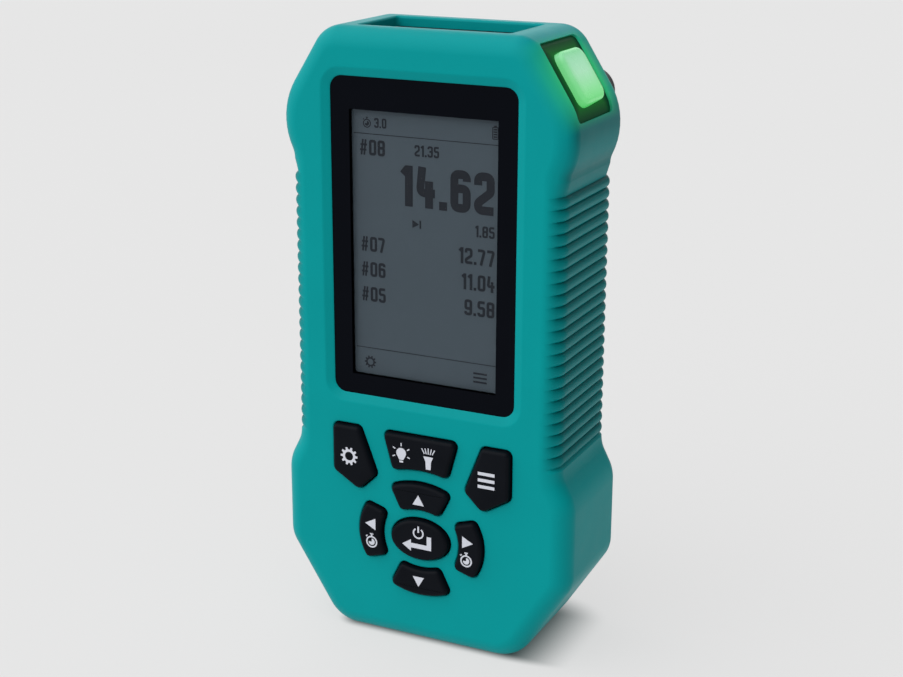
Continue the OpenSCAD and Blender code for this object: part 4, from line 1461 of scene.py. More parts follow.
@dataclass(frozen=True)
class Pen:
    """Draws flat marks as thin closed plates at a depth.

    Attributes:
        near: Depth of their outer face.
        thick: Their thickness.
        step: How much nearer each next stroke of a figure lies.
    """

    near: float
    thick: float
    step: float = 0.012

    def flat(self, points: Sequence[Pair]) -> Piece:
        """A filled outline."""
        rows = [[Vector((x, y, z)) for x, z in points] for y in (self.near, self.near + self.thick)]
        return loft("mark", rows)

    def ring(self, outer: Sequence[Pair], inner: Sequence[Pair]) -> Piece:
        """The space between two outlines with as many points."""
        rows = [[Vector((x, self.near, z)) for x, z in points] for points in (outer, inner)]
        return ring_plate("mark", *rows, Vector((0, self.thick, 0)))

    def bar(self, start: Pair, end: Pair, width: float) -> Piece:
        """A straight bar between two points."""
        return self.stroke((start, end), width, 0.0)

    def bars(self, centre: Pair, half: float, pitch: float, width: float) -> list[Piece]:
        """Three level bars one above the other."""
        levels = [centre[1] + pitch * k for k in (-1, 0, 1)]
        return [self.bar((centre[0] - half, z), (centre[0] + half, z), width) for z in levels]

    def arrow(self, tip: Pair, way: Pair, length: float, half: float) -> Piece:
        """A filled triangle.

        Args:
            tip: Its tip.
            way: Where it points.
            length: From its tip to its back.
            half: Half the width of its back.

        Returns:
            The plate.
        """
        back = Vector(tip) - Vector(way) * length
        side = Vector((way[1], -way[0])) * half
        return self.flat([tip, back + side, back - side])

    def hoop(self, centre: Pair, outer: float, inner: float) -> Piece:
        """A round ring."""
        return self.ring(*(round_outline(centre, radius, HOOP_STEPS).corners for radius in (outer, inner)))

    @staticmethod
    def arc(centre: Pair, radius: float, start: float, end: float, steps: int = 24) -> list[Pair]:
        """Points along an arc between two angles in degrees."""
        angles = [math.radians(start + (end - start) * k / steps) for k in range(steps + 1)]
        return [(centre[0] + radius * math.cos(a), centre[1] + radius * math.sin(a)) for a in angles]

    def band(self, centre: Pair, radius: float, width: float, start: float, end: float) -> Piece:
        """Part of a round ring between two angles."""
        outer = self.arc(centre, radius + width / 2, start, end)
        return self.flat(outer + self.arc(centre, radius - width / 2, end, start))

    def stroke(self, points: Sequence[Pair], width: float, bend: float) -> Piece:
        """An open stroke with rounded bends.

        Args:
            points: The bends of its middle line.
            width: Its width.
            bend: Radius of the middle line at the bends.

        Returns:
            The plate.
        """
        spots = [Vector(point) for point in points]
        ways = [(after - before).normalized() for before, after in zip(spots, spots[1:])]
        tight, wide = max(bend - width / 2, 2 * HAIR), bend + width / 2
        left, right, left_r, right_r = [], [], [], []
        for index, spot in enumerate(spots):
            way_in, way_out = ways[max(index - 1, 0)], ways[min(index, len(ways) - 1)]
            side = Vector((-way_in.y, way_in.x)) + Vector((-way_out.y, way_out.x))
            side /= 1 + way_in.dot(way_out)
            left.append(spot + side * width / 2)
            right.append(spot - side * width / 2)
            turn = way_in.x * way_out.y - way_in.y * way_out.x
            left_r.append(0.0 if turn == 0 else tight if turn > 0 else wide)
            right_r.append(0.0 if turn == 0 else wide if turn > 0 else tight)
        radii = tuple(left_r + right_r[::-1])
        outline = Outline(tuple(left + right[::-1]), radii, BEND_STEPS, HAIR)
        return self.flat(outline.points())

    def loop(self, points: Sequence[Pair], width: float, bend: float) -> Piece:
        """A closed stroke with rounded bends, clockwise."""
        outline = Outline(tuple(points), (bend,) * len(points), BEND_STEPS, 2 * HAIR)
        return self.ring(outline.points(-width / 2), outline.points(width / 2))

    def gear(self, centre: Pair, tip: float) -> Piece:
        """A gear wheel.

        Args:
            centre: Its middle.
            tip: Its radius over the teeth.

        Returns:
            The plate.
        """
        outer, inner = [], []
        for tooth in range(GEAR_TEETH):
            for share, size in GEAR_TOOTH:
                angle = math.tau * (tooth + share) / GEAR_TEETH
                way = Vector((math.cos(angle), math.sin(angle))) * tip
                outer.append(Vector(centre) + way * size)
                inner.append(Vector(centre) + way * GEAR_BORE)
        return self.ring(outer, inner)

    def stopwatch(self, centre: Pair, radius: float) -> list[Piece]:
        """A stopwatch with its crown, its side button and a filled sector.

        Args:
            centre: Its middle.
            radius: Its radius.

        Returns:
            Its pieces.
        """
        def spot(across: float, up: float) -> Pair:
            """A place in shares of the radius from the middle."""
            return centre[0] + across * radius, centre[1] + up * radius

        return [
            self.hoop(centre, radius, radius * 0.76),
            self.flat([centre, *self.arc(centre, radius * 0.55, 90, -180)]),
            self.bar(spot(0, 1), spot(0, 1.3), 0.26 * radius),
            self.bar(spot(-0.3, 1.36), spot(0.3, 1.36), 0.2 * radius),
            self.bar(spot(-1, 0.8), spot(-0.76, 1.02), 0.22 * radius),
        ]

    def figure(self, sign: str, place: Pair, size: Pair, width: float) -> list[Piece]:
        """One figure.

        Args:
            sign: Which figure.
            place: Its lower left corner.
            size: Its width and height.
            width: Width of its strokes.

        Returns:
            Its strokes.
        """
        x, z = place[0] + width / 2, place[1] + width / 2
        if sign == ".":
            return [self.bar((place[0], z), (place[0] + width, z), width)]
        thin = width * (COUNT_STROKE if sign == "#" else 1.0)
        wide, high = size[0] - width, size[1] - width
        strokes = []
        for level, (closed, points) in enumerate(FIGURES[sign]):
            layer = Pen(self.near - self.step * level, self.thick)
            draw = layer.loop if closed else layer.stroke
            spots = [(x + across * wide, z + up * high) for across, up in points]
            strokes.append(draw(spots, thin, width / 2))
        return strokes

    def line(self, signs: str, side: Side, place: Pair, height: float, bold: float) -> list[Piece]:
        """A line of figures.

        Args:
            signs: The figures.
            side: The edge that they are set against.
            place: That edge and the middle of their height.
            height: Height of a figure.
            bold: Width of a stroke as a share of the height.

        Returns:
            Their strokes.
        """
        stroke, gap = bold * height, FIGURE_GAP * height
        widths = [OWN_WIDTHS.get(sign, FIGURE_WIDTH) * height if sign != "." else stroke for sign in signs]
        x = place[0]
        if side is Side.RIGHT:
            x -= sum(widths) + gap * (len(signs) - 1)
        strokes = []
        for sign, width in zip(signs, widths):
            strokes += self.figure(sign, (x, place[1] - height / 2), (width, height), stroke)
            x += width + gap
        return strokes


@dataclass
class Screen:
    """What shows through the screen window: figures, signs and rules on the liquid crystal.

    Attributes:
        lines: Figures, the edge that they are set against, its share across, their share down, and height.
        shots: The lower lines, each with its count and its time.
        shot_rows: Share down of the first of them, and the step to the next.
        shot_edges: Share across of the counts' left edge and of the times' right edge.
        shot_heights: Height of the counts and of the times.
        battery: Width and height of the battery sign.
    """

    view: Pair = (34.6, 58.8)
    middle_z: float = 91.6
    lines: tuple[tuple[str, Side, float, float, float], ...] = (
        ("3.0", Side.LEFT, 0.155, 0.047, 2.1),
        ("#08", Side.LEFT, 0.048, 0.138, 3.4),
        ("21.35", Side.LEFT, 0.43, 0.134, 2.4),
        ("1.85", Side.RIGHT, 0.968, 0.403, 2.5),
    )
    result: tuple[str, Side, float, float, float] = ("14.62", Side.RIGHT, 0.965, 0.265, 9.0)
    shots: tuple[tuple[str, str], ...] = (("#07", "12.77"), ("#06", "11.04"), ("#05", "9.58"))
    shot_rows: Pair = (0.497, 0.0955)
    shot_edges: Pair = (0.05, 0.972)
    shot_heights: Pair = (3.3, 3.5)
    battery: Pair = (1.24, 2.4)
    battery_at: Pair = (0.966, 0.047)
    stopwatch_at: Pair = (0.105, 0.051)
    skip_at: Pair = (0.44, 0.403)
    gear_at: Pair = (0.11, 0.953)
    bars_at: Pair = (0.88, 0.951)
    bold: float = 0.18
    result_bold: float = 0.205
    rule: float = 0.16
    rules: Pair = (0.0885, 0.8975)
    rule_margin: float = 0.4
    pen: Pen = Pen(-13.13, 0.02)

    def _spot(self, across: float, down: float) -> Pair:
        """Place on the screen from shares of its width and height, from the upper left."""
        return (across - 0.5) * self.view[0], self.middle_z + (0.5 - down) * self.view[1]

    def _battery(self) -> list[Piece]:
        """An upright battery with its charge.

        Returns:
            Its pieces.
        """
        x, z = self._spot(*self.battery_at)
        case = rounded_box(*self.battery, (x, z), 0).corners
        levels = [z - 0.75 + 0.5 * k for k in range(4)]
        charge = [self.pen.bar((x - 0.4, level), (x + 0.4, level), 0.3) for level in levels]
        knob = self.pen.bar((x - 0.3, z + 1.42), (x + 0.3, z + 1.42), 0.3)
        return [self.pen.loop(case, 0.2, 0.15), knob, *charge]

    def _signs(self) -> list[Piece]:
        """Signs that tell the lines apart.

        Returns:
            Their pieces.
        """
        x, z = self._spot(*self.skip_at)
        return [
            *self.pen.stopwatch(self._spot(*self.stopwatch_at), 0.95),
            self.pen.arrow((x + 0.7, z), (1, 0), 1.6, 0.9),
            self.pen.bar((x + 1.0, z - 0.9), (x + 1.0, z + 0.9), 0.4),
            self.pen.gear(self._spot(*self.gear_at), 1.45),
            *self.pen.bars(self._spot(*self.bars_at), 1.6, 0.95, 0.42),
        ]

    def build(self) -> None:
        """Models and dresses the figures and signs."""
        lines = list(self.lines)
        left, right = self.shot_edges
        low, high = self.shot_heights
        for row, (count, time) in enumerate(self.shots):
            down = self.shot_rows[0] + self.shot_rows[1] * row
            lines += [(count, Side.LEFT, left, down, low), (time, Side.RIGHT, right, down, high)]
        pieces = self._battery() + self._signs()
        for bold, group in ((self.bold, lines), (self.result_bold, [self.result])):
            for signs, side, across, down, height in group:
                pieces += self.pen.line(signs, side, self._spot(across, down), height, bold)
        half = self.view[0] / 2 - self.rule_margin
        for down in self.rules:
            z = self._spot(0, down)[1]
            pieces.append(self.pen.bar((-half, z), (half, z), self.rule))
        finish_piece(join(pieces, "lcd_figures"), Body.CASE, FIGURE_GREY)


@dataclass(frozen=True)
class Key:
    """One key: its name, outline and body."""

    name: str
    outline: Outline

    @property
    def body(self) -> str:
        """The body that the key rides on."""
        return f"{self.name}_key"


@dataclass
class Keypad:
    """Eight keys with printed marks.

    Attributes:
        pair: Corners of the menu key, from the top of its row; the settings key mirrors it.
        light: Half width at the top and at the foot, height and arch radius of the wide key.
        ring: Half width and half height of the rim of the key ring.
        upright_in: Half width and half height of the inner curve of the up and down keys.
        side_in: The same for the left and right keys.
        upright_span: Half angles of the up and down keys along the rim and the inner curve.
        side_span: The same for the left and right keys.
        gap: Clearance to the sleeve round each key.
        bulb: Middle of the bulb on the wide key.
        torch_x: Middle of the torch beside it.
    """

    row_z: float = 50.3
    pair: tuple[Pair, ...] = ((15.0, 0.0), (21.6, 0.0), (21.6, -11.0), (15.2, -14.9), (10.9, -10.7))
    pair_r: tuple[float, ...] = (1.2, 1.2, 1.5, 1.5, 1.2)
    light: tuple[float, float, float, float] = (9.0, 6.6, 8.7, 25.0)
    ring_z: float = 25.9
    ring: Pair = (15.3, 13.4)
    upright_in: Pair = (9.6, 7.2)
    side_in: Pair = (9.6, 10.0)
    upright_span: Pair = (28.5, 28.5)
    side_span: Pair = (30.0, 31.0)
    enter: Pair = (7.1, 4.75)
    enter_steps: int = 64
    corner_r: float = 1.1
    corner_steps: int = 6
    curve_steps: int = 12
    gap: float = 0.3
    bulb: Pair = (-4.15, 46.2)
    torch_x: float = 2.5
    top_y: float = -16.66
    edge: float = 0.9
    edge_steps: int = 6
    flange_y: Pair = (-11.0, -10.2)
    flange: float = 0.9
    flange_r: float = 0.2
    pen: Pen = Pen(-16.70, 0.09)
    keys: list[Key] = field(default_factory=list)

    def __post_init__(self) -> None:
        """Works out the outlines."""
        menu = [(x, self.row_z + z) for x, z in self.pair]
        turns = [-360 * k / self.enter_steps for k in range(self.enter_steps)]
        enter = tuple(self._on_ring(self.enter, turn) for turn in turns)
        outlines = {
            "settings": Outline(tuple(mirrored(menu)), self.pair_r[::-1]),
            "light": self._light(),
            "menu": Outline(tuple(menu), self.pair_r),
            "up": self._ring_key(self.upright_in, 90, self.upright_span),
            "down": self._ring_key(self.upright_in, 270, self.upright_span),
            "left": self._ring_key(self.side_in, 180, self.side_span),
            "right": self._ring_key(self.side_in, 0, self.side_span),
            "enter": Outline(enter, (0.0,) * self.enter_steps),
        }
        self.keys = [Key(name, outline) for name, outline in outlines.items()]

    def _on_ring(self, half: Pair, degrees: float) -> Pair:
        """A point on an ellipse round the middle of the ring."""
        angle = math.radians(degrees)
        return half[0] * math.cos(angle), self.ring_z + half[1] * math.sin(angle)

    def _turns(self) -> list[float]:
        """Even steps from 1 to -1 along a curve."""
        return [1 - 2 * k / self.curve_steps for k in range(self.curve_steps + 1)]

    def _curve_radii(self) -> list[float]:
        """Radii along a curve: its ends are corners."""
        return [self.corner_r, *[0.0] * (self.curve_steps - 1), self.corner_r]

    def _ring_key(self, inner: Pair, angle: float, spans: Pair) -> Outline:
        """A piece of the key ring.

        Args:
            inner: Half width and half height of its inner curve.
            angle: Its middle, in degrees.
            spans: Half its angle along the rim and along the inner curve.

        Returns:
            The outline.
        """
        rim = [self._on_ring(self.ring, angle + spans[0] * turn) for turn in self._turns()]
        inside = [self._on_ring(inner, angle - spans[1] * turn) for turn in self._turns()]
        return Outline(tuple(rim + inside), tuple(self._curve_radii() * 2), self.corner_steps)

    def _light(self) -> Outline:
        """The wide key with an arched foot.

        Returns:
            The outline.
        """
        top_half, foot_half, height, arch_r = self.light
        arch_z = self.row_z - height - math.sqrt(arch_r**2 - foot_half**2)
        angles = [math.asin(foot_half / arch_r) * turn for turn in self._turns()]
        arch = [(arch_r * math.sin(a), arch_z + arch_r * math.cos(a)) for a in angles]
        corners = ((-top_half, self.row_z), (top_half, self.row_z), *arch)
        return Outline(corners, (self.corner_r, self.corner_r, *self._curve_radii()), self.corner_steps)

    def _cap(self, key: Key) -> Piece:
        """A key's cap with a rounded top edge and its flange.

        Args:
            key: The key.

        Returns:
            The cap.
        """
        outline, (near, far) = key.outline, self.flange_y
        radii = tuple(max(r - self.flange, self.flange_r) if r else 0.0 for r in outline.radii)
        wide = Outline(outline.corners, radii, outline.steps)
        rows = [outline.at(*level) for level in brow(self.top_y, 1, self.edge, self.edge_steps)]
        rows += [outline.at(near), wide.at(near, -self.flange), wide.at(far, -self.flange)]
        return loft(f"cap_{key.name}", rows)

    def _bulb(self) -> list[Piece]:
        """A light bulb with rays.

        Returns:
            Its pieces.
        """
        x, z = self.bulb
        neck = [(x + 0.5, z - 1.6), (x - 0.5, z - 1.6)]
        marks = [
            self.pen.flat(self.pen.arc((x, z), 1.2, 215, -35) + neck),
            self.pen.bar((x - 0.45, z - 2.0), (x + 0.45, z - 2.0), 0.42),
        ]
        for degrees in (90, 150, 30, 205, -25):
            way = Vector((math.cos(math.radians(degrees)), math.sin(math.radians(degrees))))
            start, end = (Vector((x, z)) + way * reach for reach in (1.65, 2.35))
            marks.append(self.pen.bar(start, end, 0.26))
        return marks

    def _torch(self) -> list[Piece]:
        """A hand torch, pointing up, with rays.

        Returns:
            Its pieces.
        """
        x = self.torch_x
        half = [(1.2, 46.4), (0.68, 45.25), (0.58, 43.4)]
        head = [(x + wide, z) for wide, z in half] + [(x - wide, z) for wide, z in reversed(half)]
        marks = [self.pen.flat(head)]
        for lean in (-0.9, -0.45, 0.0, 0.45, 0.9):
            end = (x + 1.75 * lean, 48.4 - 0.25 * abs(lean))
            marks.append(self.pen.bar((x + 1.05 * lean, 47.0), end, 0.24))
        return marks

    def _enter_marks(self) -> list[Piece]:
        """A power sign over a return arrow.

        Returns:
            Their pieces.
        """
        arrow = [
            (-4.0, 24.6), (-1.85, 26.0), (-1.85, 25.15), (2.1, 25.15), (2.1, 27.3), (3.2, 27.3),
            (3.2, 24.05), (-1.85, 24.05), (-1.85, 23.2),
        ]
        return [
            self.pen.flat(arrow),
            self.pen.band((0.0, 27.75), 1.18, 0.36, 125, 415),
            self.pen.bar((0.0, 27.9), (0.0, 29.4), 0.4),
        ]

    def _side_marks(self, way: int) -> list[Piece]:
        """An arrow to one side over a stopwatch."""
        arrow = self.pen.arrow((13.4 * way, 27.8), (way, 0), 2.6, 1.4)
        return [arrow, *self.pen.stopwatch((11.8 * way, 23.4), 1.42)]

    def marks(self, name: str) -> list[Piece]:
        """The printed marks of a key.

        Args:
            name: Which key.

        Returns:
            The pieces of its mark.
        """
        pen = self.pen
        drawn: dict[str, Callable[[], list[Piece]]] = {
            "settings": lambda: [pen.gear((-17.3, 43.2), 2.15)],
            "light": lambda: self._bulb() + self._torch(),
            "menu": lambda: pen.bars((16.425, 43.25), 1.975, 1.5, 0.72),
            "up": lambda: [pen.arrow((0, 36.9), (0, 1), 2.4, 1.4)],
            "down": lambda: [pen.arrow((0, 14.7), (0, -1), 2.4, 1.4)],
            "left": lambda: self._side_marks(-1),
            "right": lambda: self._side_marks(1),
            "enter": self._enter_marks,
        }
        return drawn[name]()

    def build(self) -> None:
        """Models and dresses every key and its mark."""
        for key in self.keys:
            finish_piece(self._cap(key), key.body, KEY_PLASTIC, [f"key_{key.name}"])
            mark = join(self.marks(key.name), f"mark_{key.name}")
            finish_piece(mark, key.body, MARK_WHITE)


@dataclass
class TopPanel:
    """The panel in the top recess, with sound slots, the microphone's hole and the torch's bore.

    Attributes:
        levels: Height of the neck's foot, of the ledge and of the top.
        slots: How many sound slots there are, their pitch and their middle.
        microphone: Place and radius of its hole.
        torch: Place and radius of its bore.
    """

    size: Pair = (34.0, 17.0)
    corner_r: float = 0.8
    y: float = -0.5
    levels: Trio = (133.4, 134.9, 135.9)
    overlap: float = 0.2
    edge: float = 0.3
    ledge: float = 1.8
    slots: tuple[int, float, float] = (5, 2.4, -8.0)
    slot: Pair = (1.1, 9.0)
    microphone: Pair = (2.4, 0.8)
    torch: Pair = (9.0, 3.45)
    bevel: float = 0.25
    past: float = 1.0

    def _box(self, inset: float) -> Outline:
        """The panel's outline moved inwards, with its own radius kept."""
        width, depth = (size - 2 * inset for size in self.size)
        return rounded_box(width, depth, (0, self.y), self.corner_r)

    def build(self) -> None:
        """Models and dresses the panel."""
        low, middle, high = self.levels
        plate = slab("top_panel_plate", self._box(0.0), (middle, high), (0, self.edge), Axis.Z)
        neck = slab("neck", self._box(self.ledge), (low, middle + self.overlap), (0, 0), Axis.Z)
        combine(plate, [neck], Blend.FUSE)
        count, pitch, middle_x = self.slots
        places = [middle_x + (k - (count - 1) / 2) * pitch for k in range(count)]
        holes = [capsule(*self.slot, (x, self.y)) for x in places]
        holes += [round_outline((x, self.y), radius) for x, radius in (self.microphone, self.torch)]
        levels = mouth(high, low - self.past, self.bevel, 1, self.past)
        combine(plate, [stack("hole_tool", hole, levels, Axis.Z.place) for hole in holes])
        finish_piece(plate, Body.CASE, CASE_PLASTIC, ["top_panel"])


@dataclass
class BatteryDoor:
    """The hinged door over the cells, with a finger dish and grip grooves.

    Attributes:
        pin: Radius and half length of the hinge pin.
        dish: Height, ball radius and depth of the finger dish.
        grooves: How many there are, their pitch and the height of the first.
        groove_levels: Height over the face and inset of each ring of a groove.
    """

    half_w: float = 16.1
    span_z: Pair = (12.4, 72.3)
    span_y: Pair = (12.8, 14.8)
    corner_r: float = 0.8
    edges: Pair = (0.3, 0.5)
    hinge: Pair = (13.0, 12.4)
    barrel_r: float = 1.8
    barrel_edge: float = 0.3
    barrel_steps: int = 40
    pin: Pair = (0.9, 18.5)
    pin_edge: float = 0.2
    pin_steps: int = 28
    dish: Trio = (66.3, 8.0, 1.0)
    dish_past: float = 1.6
    dish_steps: int = 10
    groove: Pair = (14.0, 1.0)
    grooves: tuple[int, float, float] = (4, 2.0, 57.2)
    groove_levels: tuple[Pair, ...] = ((-0.5, 0.2), (-0.15, 0.0), (0.0, -0.15), (1.0, -0.15))

    def _dish_tool(self) -> Piece:
        """The part of a ball that sinks the finger dish.

        Returns:
            The tool.
        """
        z, radius, depth = self.dish
        rows = []
        for step in range(1, self.dish_steps + 1):
            drop = depth * self.dish_past * step / self.dish_steps
            size = math.sqrt(radius**2 - (radius - drop) ** 2)
            rows.append(round_outline((0, z), size).at(self.span_y[1] - depth + drop))
        return loft("dish_tool", rows)

    def _groove_tools(self) -> list[Piece]:
        """Tools for the grip grooves: one is modelled and copied.

        Returns:
            The tools.
        """
        count, pitch, z = self.grooves
        levels = [(self.span_y[1] + rise, inset) for rise, inset in self.groove_levels]
        return repeat(stack("groove_tool", capsule(*self.groove, (0, z)), levels), count, pitch)

    def _rod(self, name: str, radius: float, half: float, edge: float, steps: int) -> Piece:
        """A round rod along the hinge."""
        return slab(name, round_outline(self.hinge, radius, steps), (-half, half), (edge, edge), Axis.X)

    def build(self) -> None:
        """Models and dresses the door."""
        low, high = self.span_z
        box = rounded_box(2 * self.half_w, high - low, (0, (low + high) / 2), self.corner_r)
        plate = slab("battery_door_plate", box, self.span_y, self.edges, Axis.Y)
        combine(plate, [self._dish_tool(), *self._groove_tools()])
        barrel = self._rod("barrel", self.barrel_r, self.half_w, self.barrel_edge, self.barrel_steps)
        pin = self._rod("pin", *self.pin, self.pin_edge, self.pin_steps)
        door = join([plate, barrel, pin], "battery_door_plate")
        finish_piece(door, Body.DOOR, DOOR_PLASTIC, ["battery_door"])


@dataclass
class BeltClip:
    """The sprung belt clip: its base on the back panel and its lever.

    Attributes:
        ear: Radius and the two ends of the base's ears.
        barrel: Radius and the two ends of the lever's barrels.
        panel: Width, height and middle of the shallow panel in the lever.
        ridges: How many thumb grooves there are, their pitch and the height of the first.
    """

    pivot: Pair = (19.6, 112.0)
    base_size: Pair = (20.4, 15.5)
    base_z: float = 109.25
    base_y: Pair = (14.8, 16.6)
    base_r: float = 1.2
    base_edge: float = 0.5
    ear: Trio = (2.8, 7.4, 10.2)
    ear_root: float = 15.1
    lug_edge: float = 0.25
    lug_steps: int = 20
    pin_r: float = 1.5
    bore_half: float = 12.0
    bore_steps: int = 32
    lever_size: Pair = (24.0, 46.0)
    lever_z: float = 101.0
    lever_y: Pair = (22.7, 24.7)
    lever_edges: Pair = (0.4, 0.7)
    corner_r: float = 4.0
    corner_steps: int = 12
    barrel: Trio = (2.5, 3.2, 7.1)
    barrel_root: float = 23.1
    nose_y: Pair = (15.3, 23.0)
    nose_h: float = 4.0
    nose_edge: float = 0.5
    nose_steps: int = 10
    panel: Trio = (16.0, 24.0, 94.5)
    panel_r: float = 2.4
    panel_levels: tuple[Pair, ...] = ((-0.4, 0.5), (0.0, 0.0), (1.0, 0.0))
    ridge: Pair = (14.0, 0.9)
    ridges: tuple[int, float, float] = (4, 1.9, 120.4)
    ridge_levels: tuple[Pair, ...] = ((-0.45, 0.15), (0.0, -0.1), (1.0, -0.1))

    def _lug(self, name: str, size: Trio, root: float) -> Piece:
        """A pair of lugs round the pivot, one modelled and mirrored.

        Args:
            name: Name of the piece.
            size: Radius and the two ends along X.
            root: Depth at which the lugs start.

        Returns:
            The lugs.
        """
        radius, inner, outer = size
        turn = 90 if root < self.pivot[0] else -90
        arc = Pen.arc(self.pivot, radius, turn, turn - 180, self.lug_steps)
        points = (*arc, (root, arc[-1][1]), (root, arc[0][1]))
        lug = slab(name, Outline(points, (0.0,) * len(points)), (inner, outer), (self.lug_edge,) * 2, Axis.X)
        modify(lug, "MIRROR")
        return lug

    def _base(self) -> None:
        """Models and dresses the base."""
        box = rounded_box(*self.base_size, (0, self.base_z), self.base_r)
        plate = slab("clip_base_plate", box, self.base_y, (0, self.base_edge), Axis.Y)
        ears = self._lug("ears", self.ear, self.ear_root)
        bore = round_outline(self.pivot, self.pin_r, self.bore_steps)
        combine(ears, [slab("bore_tool", bore, (-self.bore_half, self.bore_half), (0, 0), Axis.X)])
        base = join([plate, ears], "clip_base_plate")
        finish_piece(base, Body.CASE, CLIP_PLASTIC, ["clip_base"])

    def _nose(self) -> Piece:
        """The hooked lower end of the lever.

        Returns:
            The closed piece.
        """
        half, low = self.lever_size[0] / 2, self.lever_z - self.lever_size[1] / 2
        centre = (half - self.corner_r, low + self.corner_r)
        (near, far), edge, slim = self.nose_y, self.nose_edge, self.nose_h / 2
        rows = []
        rings = ((near, slim - edge, edge), (near + edge, slim, 0.0), (far, self.nose_h, 0.0))
        for y, height, inset in rings:
            start = math.degrees(math.asin((low + height - centre[1]) / self.corner_r))
            right = Pen.arc(centre, self.corner_r - inset, start, -90, self.nose_steps)
            rows.append([Vector((x, y, z)) for x, z in right + mirrored(right)])
        return loft("nose", rows)

    def _sunk(self, name: str, outline: Outline, levels: Sequence[Pair]) -> Piece:
        """A tool that sinks an outline into the lever's face."""
        return stack(name, outline, [(self.lever_y[1] + rise, inset) for rise, inset in levels])

    def _lever(self) -> None:
        """Models and dresses the lever."""
        box = rounded_box(*self.lever_size, (0, self.lever_z), self.corner_r, self.corner_steps)
        plate = slab("clip_lever_plate", box, self.lever_y, self.lever_edges, Axis.Y)
        width, height, z = self.panel
        panel = rounded_box(width, height, (0, z), self.panel_r)
        count, pitch, top = self.ridges
        ridge = self._sunk("ridge_tool", capsule(*self.ridge, (0, top)), self.ridge_levels)
        combine(plate, [self._sunk("panel_tool", panel, self.panel_levels), *repeat(ridge, count, pitch)])
        barrels = self._lug("barrels", self.barrel, self.barrel_root)
        lever = join([plate, self._nose(), barrels], "clip_lever_plate")
        finish_piece(lever, Body.CLIP, CLIP_PLASTIC, ["clip_lever"])

    def build(self) -> None:
        """Models both pieces."""
        self._base()
        self._lever()


@dataclass
class Solids:
    """Finishes of the solids that stay in view as they are."""

    finishes: tuple[tuple[Finish, str], ...] = (
        (CASE_PLASTIC, "front_case rear_case"),
        (Moulded("seal_rubber", srgb(38, 38, 40), (0.6, 0.75), 0.2), "case_seal"),
        (Metal("screw_steel", (0.56, 0.56, 0.55)), "case_screws board_screws clip_screws"),
        (ScreenGlass(), "screen_lens"),
        (Moulded("gasket_black", srgb(8, 10, 14), (0.6, 0.8), gloss=0.1), "lens_gasket"),
        (Reflector(), "lcd_panel"),
        (ClearPlastic("light_guide", alpha=(0.86, 0.94)), "backlight_panel"),
        (Moulded("frame_plastic", srgb(196, 195, 188)), "display_frame"),
        (BoardLacquer(), "main_board start_board"),
        (Moulded("mat_rubber", srgb(58, 60, 63), (0.6, 0.75), 0.25), "keypad_mat"),
        (Metal("dome_steel", (0.66, 0.62, 0.55)), "snap_domes"),
        (LitFrame(), "start_frame"),
        (Moulded("switch_plastic", srgb(150, 152, 150)), "start_switch"),
        (Moulded("lamp_plastic", srgb(225, 232, 214), (0.2, 0.3)), "start_lamps torch_lamp"),
        (Moulded("buzzer_plastic", srgb(30, 31, 33)), "buzzer"),
        (Metal("microphone_metal", (0.62, 0.60, 0.55)), "microphone"),
        (ClearPlastic("torch_clear"), "torch_lens"),
        (CellWrap(), "aa_cells"),
        (Metal("contact_metal", (0.72, 0.70, 0.64)), "cell_plates cell_springs"),
        (Metal("pin_steel", (0.60, 0.60, 0.59), stretch=(0.08, 1.0, 1.0)), "clip_pin"),
        (Metal("spring_steel", (0.50, 0.50, 0.51)), "clip_spring"),
    )

    def dress(self) -> None:
        """Gives every solid its finish."""
        for finish, names in self.finishes:
            for name in names.split():
                dress(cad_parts[name], finish)
                LOG.info("%s dressed as %s", name, finish.name)


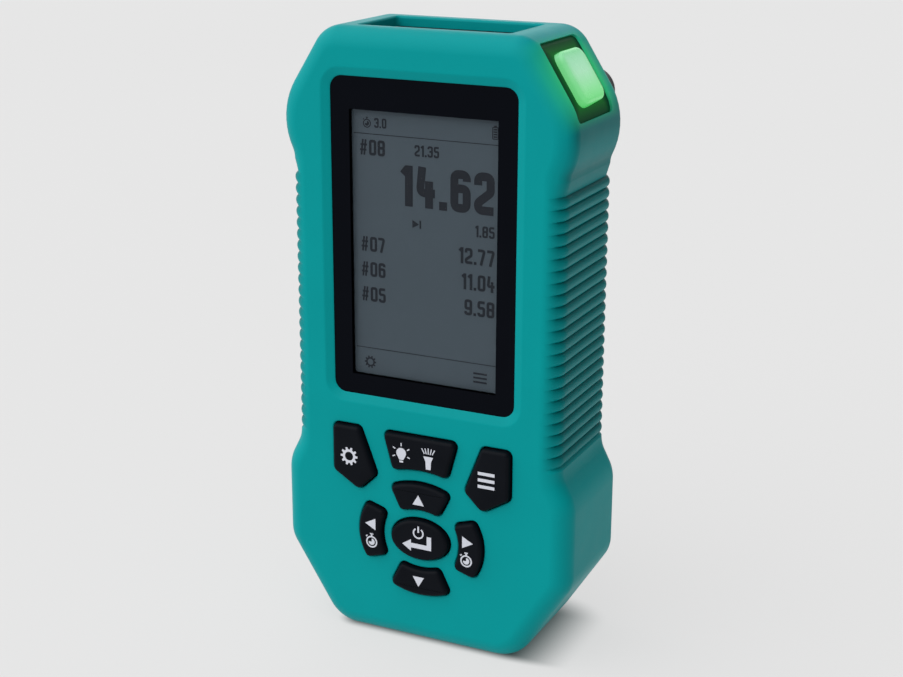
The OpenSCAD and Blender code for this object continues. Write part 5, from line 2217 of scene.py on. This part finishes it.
@dataclass
class Studio:
    """Pale floor, soft light and the camera.

    Attributes:
        key_way: Where the main light comes from.
        key_span: Cosines of the angles to it where it is 0 and 1.
        wall_way: Where the pale wall stands.
        wall_span: The same for the wall.
        wall: Strength of the wall beside the main light.
        shade: The least light, from any side.
        sky: Strength of it all.
    """

    target: Trio = (7.43, -15.4, 73.87)
    distance: float = 348.59
    azimuth: float = 25.58
    elevation: float = 17.34
    roll: float = 0.2
    lens: float = 65.26
    sensor: float = 36.0
    clip_end: float = 50.0
    floor_half: float = 6000.0
    key_way: Trio = (-0.56, -0.50, 0.85)
    key_span: Pair = (0.40, 0.95)
    wall_way: Trio = (-0.42, 0.86, 0.29)
    wall_span: Pair = (0.72, 0.97)
    wall: float = 0.45
    shade: float = 0.115
    sky: float = 2.38

    def _floor(self) -> None:
        """A large pale floor."""
        pick()
        bpy.ops.mesh.primitive_plane_add(size=2 * self.floor_half * MM)
        floor = bpy.context.active_object
        floor.name = "floor"
        dress(floor, FloorPaper())

    @staticmethod
    def _lobe(board: NodeBoard, way: Trio, span: Pair) -> Value:
        """Light from one side.

        Args:
            board: The world's board.
            way: Where the light comes from.
            span: Cosines of the angles to it where the light is 0 and 1.

        Returns:
            The light from 0 to 1.
        """
        sockets = {0: board.place, 1: Vector(way).normalized()}
        facing = board.node("ShaderNodeVectorMath", {"operation": "DOT_PRODUCT"}, sockets, out="Value")
        return facing.ramp(*span)

    def _sky(self) -> None:
        """Soft light from all round, brightest from the upper left in front, with a pale wall behind."""
        board = NodeBoard(bpy.data.worlds.new("studio"), "Background", "Generated")
        key = self._lobe(board, self.key_way, self.key_span)
        wall = self._lobe(board, self.wall_way, self.wall_span) * self.wall
        board.wear(Color=key.highest(wall).spread(self.shade, 1.0), Strength=self.sky)
        bpy.context.scene.world = board.owner

    def _camera(self) -> None:
        """The camera at the photograph's place."""
        azimuth, elevation = math.radians(self.azimuth), math.radians(self.elevation)
        level = math.cos(elevation)
        back = Vector((math.sin(azimuth) * level, -math.cos(azimuth) * level, math.sin(elevation)))
        right = Vector((math.cos(azimuth), math.sin(azimuth), 0))
        turn = Matrix((right, back.cross(right), back)).transposed()
        turn = turn @ Matrix.Rotation(math.radians(self.roll), 3, "Z")
        data = bpy.data.cameras.new("camera")
        data.lens = self.lens
        data.sensor_width = self.sensor
        data.clip_end = self.clip_end
        camera = bpy.data.objects.new("camera", data)
        bpy.context.scene.collection.objects.link(camera)
        place = (Vector(self.target) + back * self.distance) * MM
        camera.matrix_world = Matrix.Translation(place) @ turn.to_4x4()
        bpy.context.scene.camera = camera

    def build(self) -> None:
        """Sets up the studio."""
        self._floor()
        self._sky()
        bpy.context.scene.view_settings.view_transform = "Standard"
        self._camera()


def main() -> None:
    """Builds the sub-assemblies in order and reports each piece."""
    logging.basicConfig(level=logging.INFO, format="%(name)s: %(message)s")
    Studio().build()
    Solids().dress()
    keypad = Keypad()
    start = StartCorner()
    Sleeve().build([key.outline for key in keypad.keys], keypad.gap, start.window_tool())
    start.build()
    Screen().build()
    keypad.build()
    TopPanel().build()
    BatteryDoor().build()
    BeltClip().build()


if __name__ == "__main__":
    main()
